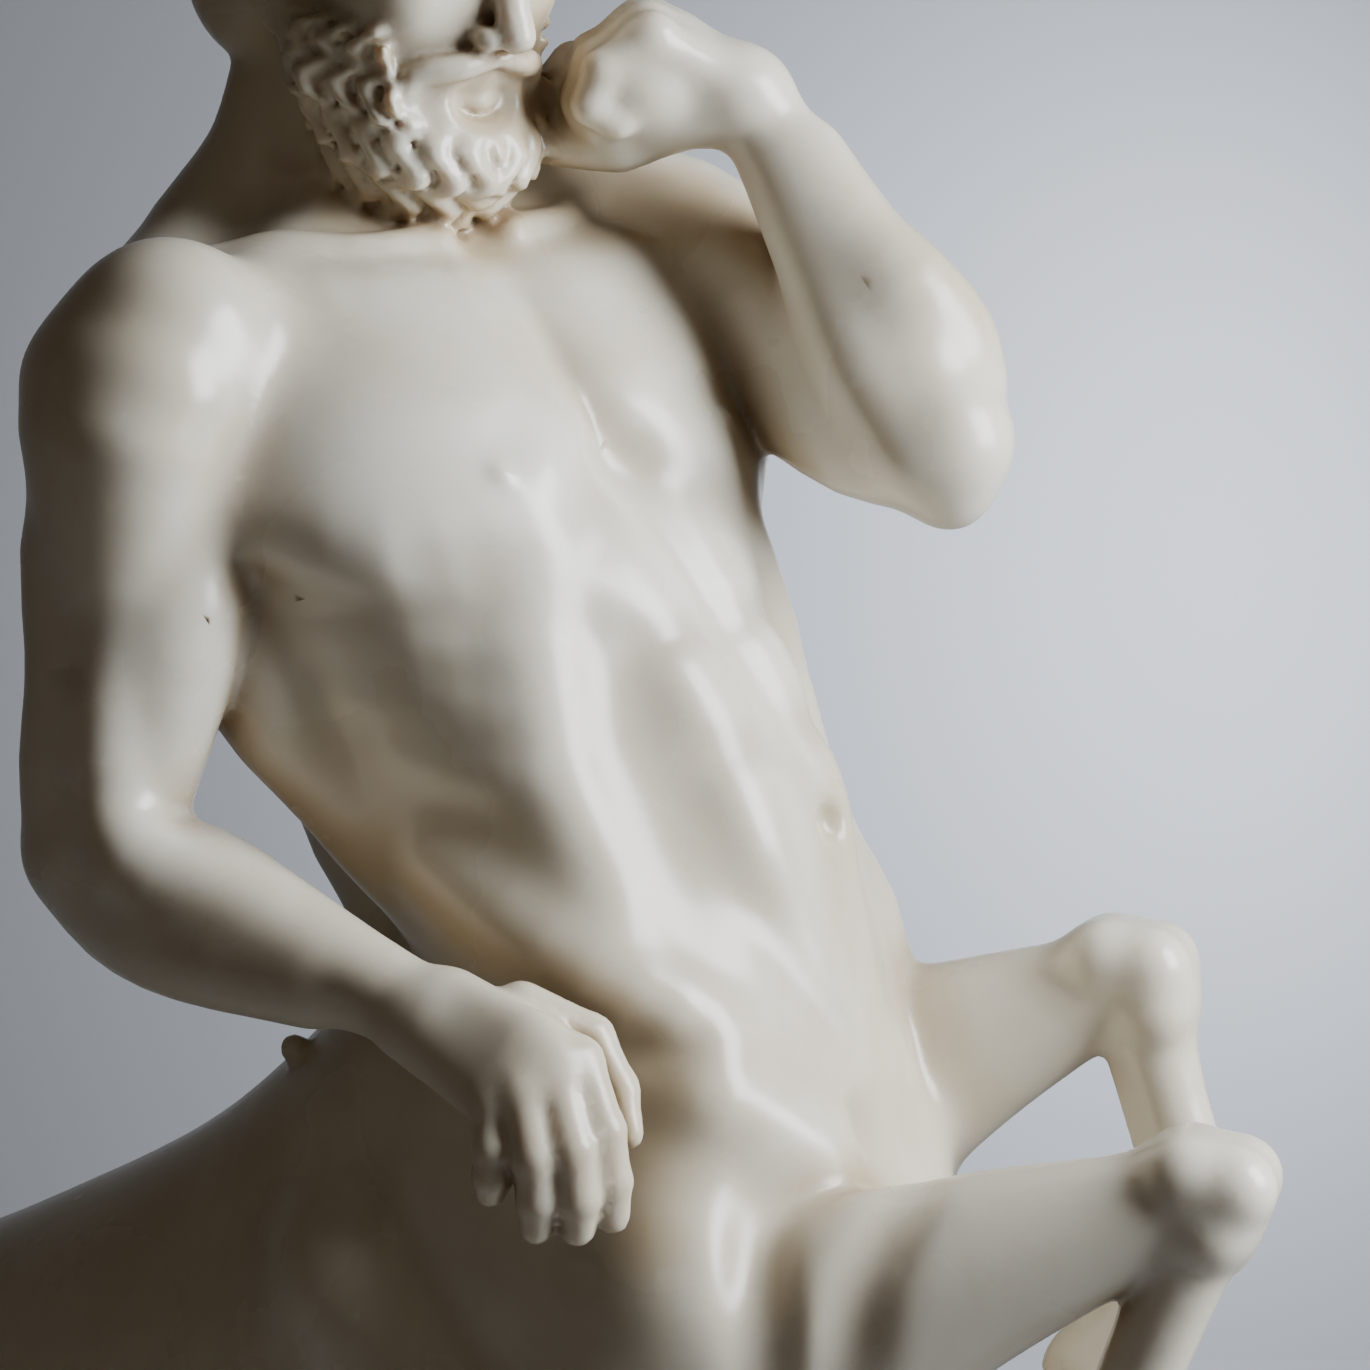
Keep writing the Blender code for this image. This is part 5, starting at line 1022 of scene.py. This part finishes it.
def node(tree, kind, at, sockets=None, **settings):
    """A node with its settings; sockets gives each input a plain value or the output that feeds it."""
    made = tree.nodes.new(kind)
    made.location = at
    for key, value in settings.items():
        setattr(made, key, value)
    feed(tree, made, sockets or {})
    return made


def feed(tree, made, sockets):
    for name, value in sockets.items():
        if isinstance(value, bpy.types.NodeSocket):
            tree.links.new(value, made.inputs[name])
        elif value is not None:
            made.inputs[name].default_value = value


def ramp(tree, at, source, stops):
    """A grey ramp over a source socket, with (place, grey) stops."""
    made = node(tree, "ShaderNodeValToRGB", at, {"Fac": source})
    stop = made.color_ramp.elements
    while len(stop) > 1:
        stop.remove(stop[-1])
    for k, (place, grey) in enumerate(stops):
        here = stop[0] if k == 0 else stop.new(place)
        here.position = place
        here.color = (grey, grey, grey, 1)
    return made.outputs["Color"]


def marble_cloud_group():
    """Soft clouds and faint veins that run through marble: puts out a colour, a roughness and a height."""
    tree = bpy.data.node_groups.new("marble clouds", "ShaderNodeTree")
    for name, kind in (("Light", "Color"), ("Deep", "Color"), ("Vein", "Color"), ("Cloud scale", "Float"),
                       ("Vein strength", "Float"), ("Polish", "Float")):
        tree.interface.new_socket(name=name, in_out="INPUT", socket_type="NodeSocket" + kind)
    for name, kind in (("Color", "Color"), ("Roughness", "Float"), ("Height", "Float")):
        tree.interface.new_socket(name=name, in_out="OUTPUT", socket_type="NodeSocket" + kind)
    given = node(tree, "NodeGroupInput", (-1200, 0)).outputs
    place = node(tree, "ShaderNodeTexCoord", (-1200, -400)).outputs["Object"]

    def noise(at, sockets, **settings):
        return node(tree, "ShaderNodeTexNoise", at, {"Vector": place, **sockets}, **settings).outputs["Fac"]

    def mixed(at, factor, first, second):
        made = node(tree, "ShaderNodeMix", at, {"Factor": factor, "A": first, "B": second}, data_type="RGBA")
        return made.outputs["Result"]

    clouds = noise((-900, 200), {"Scale": given["Cloud scale"], "Detail": 5, "Roughness": 0.55,
                                 "Distortion": 0.6})
    tone = mixed((-400, 200), ramp(tree, (-700, 200), clouds, ((0.34, 0.0), (0.66, 1.0))),
                 given["Deep"], given["Light"])
    veins = noise((-900, -100), {"Scale": 2.6, "Detail": 6, "Distortion": 1.2},
                  noise_type="RIDGED_MULTIFRACTAL")
    share = node(tree, "ShaderNodeMath", (-500, -100),
                 {0: ramp(tree, (-700, -100), veins, ((0.55, 0.0), (0.95, 1.0))), 1: given["Vein strength"]},
                 operation="MULTIPLY")
    rubbed = noise((-900, -750), {"Scale": 9, "Detail": 4})
    wear = node(tree, "ShaderNodeMath", (-500, -600), {0: rubbed, 1: 0.22, 2: given["Polish"]},
                operation="MULTIPLY_ADD")
    grain = noise((-900, -500), {"Scale": 60, "Detail": 6, "Roughness": 0.6})
    node(tree, "NodeGroupOutput", (100, 0),
         {"Color": mixed((-200, 100), share.outputs[0], tone, given["Vein"]), "Roughness": wear.outputs[0],
          "Height": grain})
    return tree


marble_clouds = marble_cloud_group()
marble = bpy.data.materials.new("ivory marble")
marble.use_nodes = True
tree = marble.node_tree
clouds = node(tree, "ShaderNodeGroup", (-900, 200),
              {"Light": (0.74, 0.70, 0.61, 1), "Deep": (0.58, 0.51, 0.39, 1), "Vein": (0.46, 0.40, 0.31, 1),
               "Cloud scale": 5.0, "Vein strength": 0.16, "Polish": 0.16}, node_tree=marble_clouds)

# Painted shade: a honey-brown darkening where the carving is sheltered, and a deeper brown in its sharpest
# hollows, laid into the colour where shade falls.
colour = clouds.outputs["Color"]
for k, (name, stops, painted_shade_colour) in enumerate((("shelter", ((0.10, 0.0), (0.85, 0.70)), (0.45, 0.34, 0.20, 1)),
                                          ("hollow", ((0.12, 0.0), (0.75, 0.8)), (0.26, 0.17, 0.09, 1)))):
    # Each mask mixes the colour towards its brown: painted shade, deeper where the carving is more closed in.
    closed_in = node(tree, "ShaderNodeAttribute", (-1300, -200 - 300 * k), attribute_name=name)
    painted_shade_share = ramp(tree, (-1000, -200 - 300 * k), closed_in.outputs["Fac"], stops)
    colour = node(tree, "ShaderNodeMix", (-550 + 200 * k, 200), {"Factor": painted_shade_share, "A": colour, "B": painted_shade_colour},
                  data_type="RGBA").outputs["Result"]
bump = node(tree, "ShaderNodeBump", (-350, -300),
            {"Strength": 0.05, "Distance": 0.002, "Height": clouds.outputs["Height"]})
feed(tree, tree.nodes["Principled BSDF"],
     {"Base Color": colour, "Roughness": clouds.outputs["Roughness"], "Normal": bump.outputs["Normal"],
      "Subsurface Weight": 0.35, "Subsurface Radius": (1.0, 0.62, 0.38), "Subsurface Scale": 0.012,
      "IOR": 1.49})
thinned.materials.append(marble)
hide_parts("centaur")
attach(centaur, "root")


# The plinth: a separate block of grey-white marble, honed, with a square foot, a round, a hollow and a
# flat die. One moulding line is run round the
# four corners by geometry nodes, as a mason runs it with a template.
plinth_low, plinth_high = (Vector(corner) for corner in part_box("plinth"))
ARRIS, FILLET, QUIRK = 0.0022, 0.004, 0.002
STANDS_OUT, FOOT, ROUND, COVE = 0.022, 0.026, 0.014, 0.014
ROUND_SHARE, COVE_SHARE = 0.455, 0.363          # how much of what stands out each of the two curves takes


def moulded_block_tree():
    """Runs a moulding line (x how far out, z how high) round a rectangle and closes it above and below."""
    tree = bpy.data.node_groups.new("moulded block", "GeometryNodeTree")
    for name, kind in (("Moulding line", "Geometry"), ("Length", "Float"), ("Width", "Float"),
                       ("Marble", "Material")):
        tree.interface.new_socket(name=name, in_out="INPUT", socket_type="NodeSocket" + kind)
    tree.interface.new_socket(name="Block", in_out="OUTPUT", socket_type="NodeSocketGeometry")
    given = node(tree, "NodeGroupInput", (-1400, 0)).outputs

    def maths(operation, at, first, second=None, third=None):
        made = node(tree, "ShaderNodeMath", at, {0: first, 1: second, 2: third}, operation=operation)
        return made.outputs[0]

    # Each place of a grid, five corners round by as many rows as the line has, takes its row's point.
    rows = node(tree, "GeometryNodeAttributeDomainSize", (-1200, 200),
                {"Geometry": given["Moulding line"]}).outputs["Point Count"]
    grid = node(tree, "GeometryNodeMeshGrid", (-900, 300), {"Vertices X": 5, "Vertices Y": rows})
    index = node(tree, "GeometryNodeInputIndex", (-1200, -100)).outputs[0]
    corner = maths("FLOOR", (-850, -100), maths("DIVIDE", (-1000, -100), index, rows))
    line = node(tree, "GeometryNodeSampleIndex", (-700, -250),
                {"Geometry": given["Moulding line"], "Index": maths("MODULO", (-1000, -250), index, rows),
                 "Value": node(tree, "GeometryNodeInputPosition", (-900, -400)).outputs[0]},
                data_type="FLOAT_VECTOR", domain="POINT")
    point = node(tree, "ShaderNodeSeparateXYZ", (-500, -250), {0: line.outputs["Value"]}).outputs
    turn = maths("MULTIPLY_ADD", (-700, 50), corner, math.pi / 2, math.pi / 4)
    place = {"Z": point["Z"]}
    for axis, wave, side, up in (("X", "COSINE", "Length", 0), ("Y", "SINE", "Width", 150)):
        way = maths("SIGN", (-350, up), maths(wave, (-500, up), turn))
        half = maths("MULTIPLY", (-500, 350 + up), given[side], 0.5)
        place[axis] = maths("MULTIPLY", (-100, up), way, maths("ADD", (-300, 350 + up), half, point["X"]))
    placed = node(tree, "ShaderNodeCombineXYZ", (100, 0), place)
    moved = node(tree, "GeometryNodeSetPosition", (300, 200),
                 {"Geometry": grid.outputs["Mesh"], "Position": placed.outputs[0]})
    closed = node(tree, "GeometryNodeMergeByDistance", (500, 200),
                  {"Geometry": moved.outputs["Geometry"], "Distance": 0.00001})
    real = node(tree, "GeometryNodeRealizeInstances", (700, 200), {"Geometry": closed.outputs["Geometry"]})
    clad = node(tree, "GeometryNodeSetMaterial", (900, 200),
                {"Geometry": real.outputs["Geometry"], "Material": given["Marble"]})
    node(tree, "NodeGroupOutput", (1100, 200), {"Block": clad.outputs["Geometry"]})
    return tree


honed = bpy.data.materials.new("honed plinth marble")
honed.use_nodes = True
tree = honed.node_tree
clouds = node(tree, "ShaderNodeGroup", (-600, 200),
              {"Light": (0.66, 0.65, 0.62, 1), "Deep": (0.50, 0.49, 0.47, 1), "Vein": (0.30, 0.30, 0.31, 1),
               "Cloud scale": 3.0, "Vein strength": 0.5, "Polish": 0.34}, node_tree=marble_clouds)
feed(tree, tree.nodes["Principled BSDF"],
     {"Base Color": clouds.outputs["Color"], "Roughness": clouds.outputs["Roughness"]})

die = plinth_high - plinth_low - Vector((2 * STANDS_OUT, 2 * STANDS_OUT, 0))
cove_foot = FOOT + ROUND + FILLET
cove_back = 1 - ROUND_SHARE - COVE_SHARE
quarter = np.linspace(0, math.pi / 2, 9)
line = [(-die.y / 2, 0.0), (STANDS_OUT, 0.0), (STANDS_OUT, FOOT)]
line += [(STANDS_OUT * (1 - ROUND_SHARE * (1 - math.cos(a))), FOOT + ROUND * math.sin(a))
         for a in quarter[1:]]
line += [(STANDS_OUT * (cove_back + COVE_SHARE * math.cos(a)), cove_foot + COVE * math.sin(a))
         for a in quarter]
line += [(0.0, cove_foot + COVE + QUIRK), (0.0, plinth_high.z), (-die.y / 2, plinth_high.z)]
template = bpy.data.meshes.new("moulding line")
template.from_pydata([(out, 0, up) for out, up in line], [(k, k + 1) for k in range(len(line) - 1)], [])
plinth = in_scene("marble_plinth", template)
runner = plinth.modifiers.new("moulded block", "NODES")
runner.node_group = moulded_block_tree()
sockets = {item.name: item.identifier for item in runner.node_group.interface.items_tree}
for name, value in (("Length", die.x), ("Width", die.y), ("Marble", honed)):
    runner[sockets[name]] = value
eased = plinth.modifiers.new("eased edges", "BEVEL")
eased.width, eased.segments = ARRIS / 2, 2
eased.limit_method, eased.angle_limit = "ANGLE", math.radians(50)
block = evaluated_mesh(plinth, "marble_plinth")
skin_of_block = bmesh.new()
skin_of_block.from_mesh(block)
bmesh.ops.recalc_face_normals(skin_of_block, faces=skin_of_block.faces)
skin_of_block.to_mesh(block)
skin_of_block.free()
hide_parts("plinth")
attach(plinth, "root")


# The studio: a pale matt floor that turns up into a plain wall, and no other thing in it.
WALL_BEHIND, WALL_UP, FLOOR_HALF, BEND, BEND_STEPS = 2.3, 6, 7, 0.1, 8
right = vec(math.cos(CAMERA_TURN), math.sin(CAMERA_TURN), 0)
away = vec(-math.sin(CAMERA_TURN), math.cos(CAMERA_TURN), 0)
sweep = [away * -FLOOR_HALF]
for turn in np.linspace(0, math.pi / 2, BEND_STEPS + 1):
    forward, up = BEND * (math.sin(turn) - 1), BEND * (1 - math.cos(turn))
    sweep.append(away * (WALL_BEHIND + forward) + vec(0, 0, up))
sweep.append(away * WALL_BEHIND + vec(0, 0, WALL_UP))
matt = bpy.data.materials.new("pale_floor_and_wall")
matt.use_nodes = True
feed(matt.node_tree, matt.node_tree.nodes["Principled BSDF"],
     {"Base Color": (0.30, 0.30, 0.30, 1), "Roughness": 0.9})
sheet = bpy.data.meshes.new("pale_floor_and_wall")
sheet.from_pydata([tuple(p + right * side) for p in sweep for side in (-FLOOR_HALF, FLOOR_HALF)], [],
                  [(2 * i, 2 * i + 1, 2 * i + 3, 2 * i + 2) for i in range(len(sweep) - 1)])
sheet.materials.append(matt)
sheet.update()
in_scene("pale_floor_and_wall", sheet)


# The light: a tall window's soft daylight from the right, a faint warm return from the room on the
# left, and a cool wash over the wall.
def soft_light(name, place, way, size, power, colour):
    """A soft rectangular light at a place, turned so that way points from what it lights back to it."""
    lamp = bpy.data.lights.new(name, "AREA")
    lamp.shape = "RECTANGLE"
    lamp.size, lamp.size_y = size
    lamp.energy, lamp.color = power, colour
    made = in_scene(name, lamp)
    made.location = place
    made.rotation_euler = way.to_track_quat("Z", "Y").to_euler()


CHEST = Vector(to_statue((-4, 0, 8)))
for name, way, far, size, power, colour in (
        ("window", right * 0.88 - away * 0.28 + vec(0, 0, 0.36), 1.45, (0.7, 1.1), 61, (0.90, 0.95, 1.0)),
        ("room", -right * 0.5 - away * 0.9 + vec(0, 0, 0.35), 3.2, (2.2, 1.6), 2.4, (1.0, 0.76, 0.50))):
    way = Vector(way).normalized()
    soft_light(name, CHEST + way * far, way, size, power, colour)
wash_place = Vector(away * (WALL_BEHIND - 0.6) + right * 0.80 + vec(0, 0, 0.80))
wash_aim = Vector(away * WALL_BEHIND + right * 0.30 + vec(0, 0, 0.68))
soft_light("wall wash", wash_place, wash_place - wash_aim, (0.3, 0.8), 25, (0.80, 0.87, 1.0))
sky = bpy.data.worlds.new("room light")
bpy.context.scene.world = sky
sky.use_nodes = True
feed(sky.node_tree, sky.node_tree.nodes["Background"], {"Color": (0.78, 0.66, 0.52, 1), "Strength": 0.055})


# The camera: it stands to the right of the horse's forehand, a little above the waist, with a long lens.
CAMERA_FAR, LENS = 2.4, 145.84
back = vec(math.sin(CAMERA_TURN) * math.cos(CAMERA_RISE), -math.cos(CAMERA_TURN) * math.cos(CAMERA_RISE),
           math.sin(CAMERA_RISE))
aim = to_statue((3.22, 2.69, 7.65))
sight = np.array([right, np.cross(back, right), back])
lens = bpy.data.cameras.new("camera")
lens.sensor_width, lens.lens = 36.0, LENS
camera = in_scene("camera", lens)
camera.matrix_world = Matrix.Translation(Vector(aim + back * CAMERA_FAR)) @ Matrix(sight.T.tolist()).to_4x4()
bpy.context.scene.camera = camera
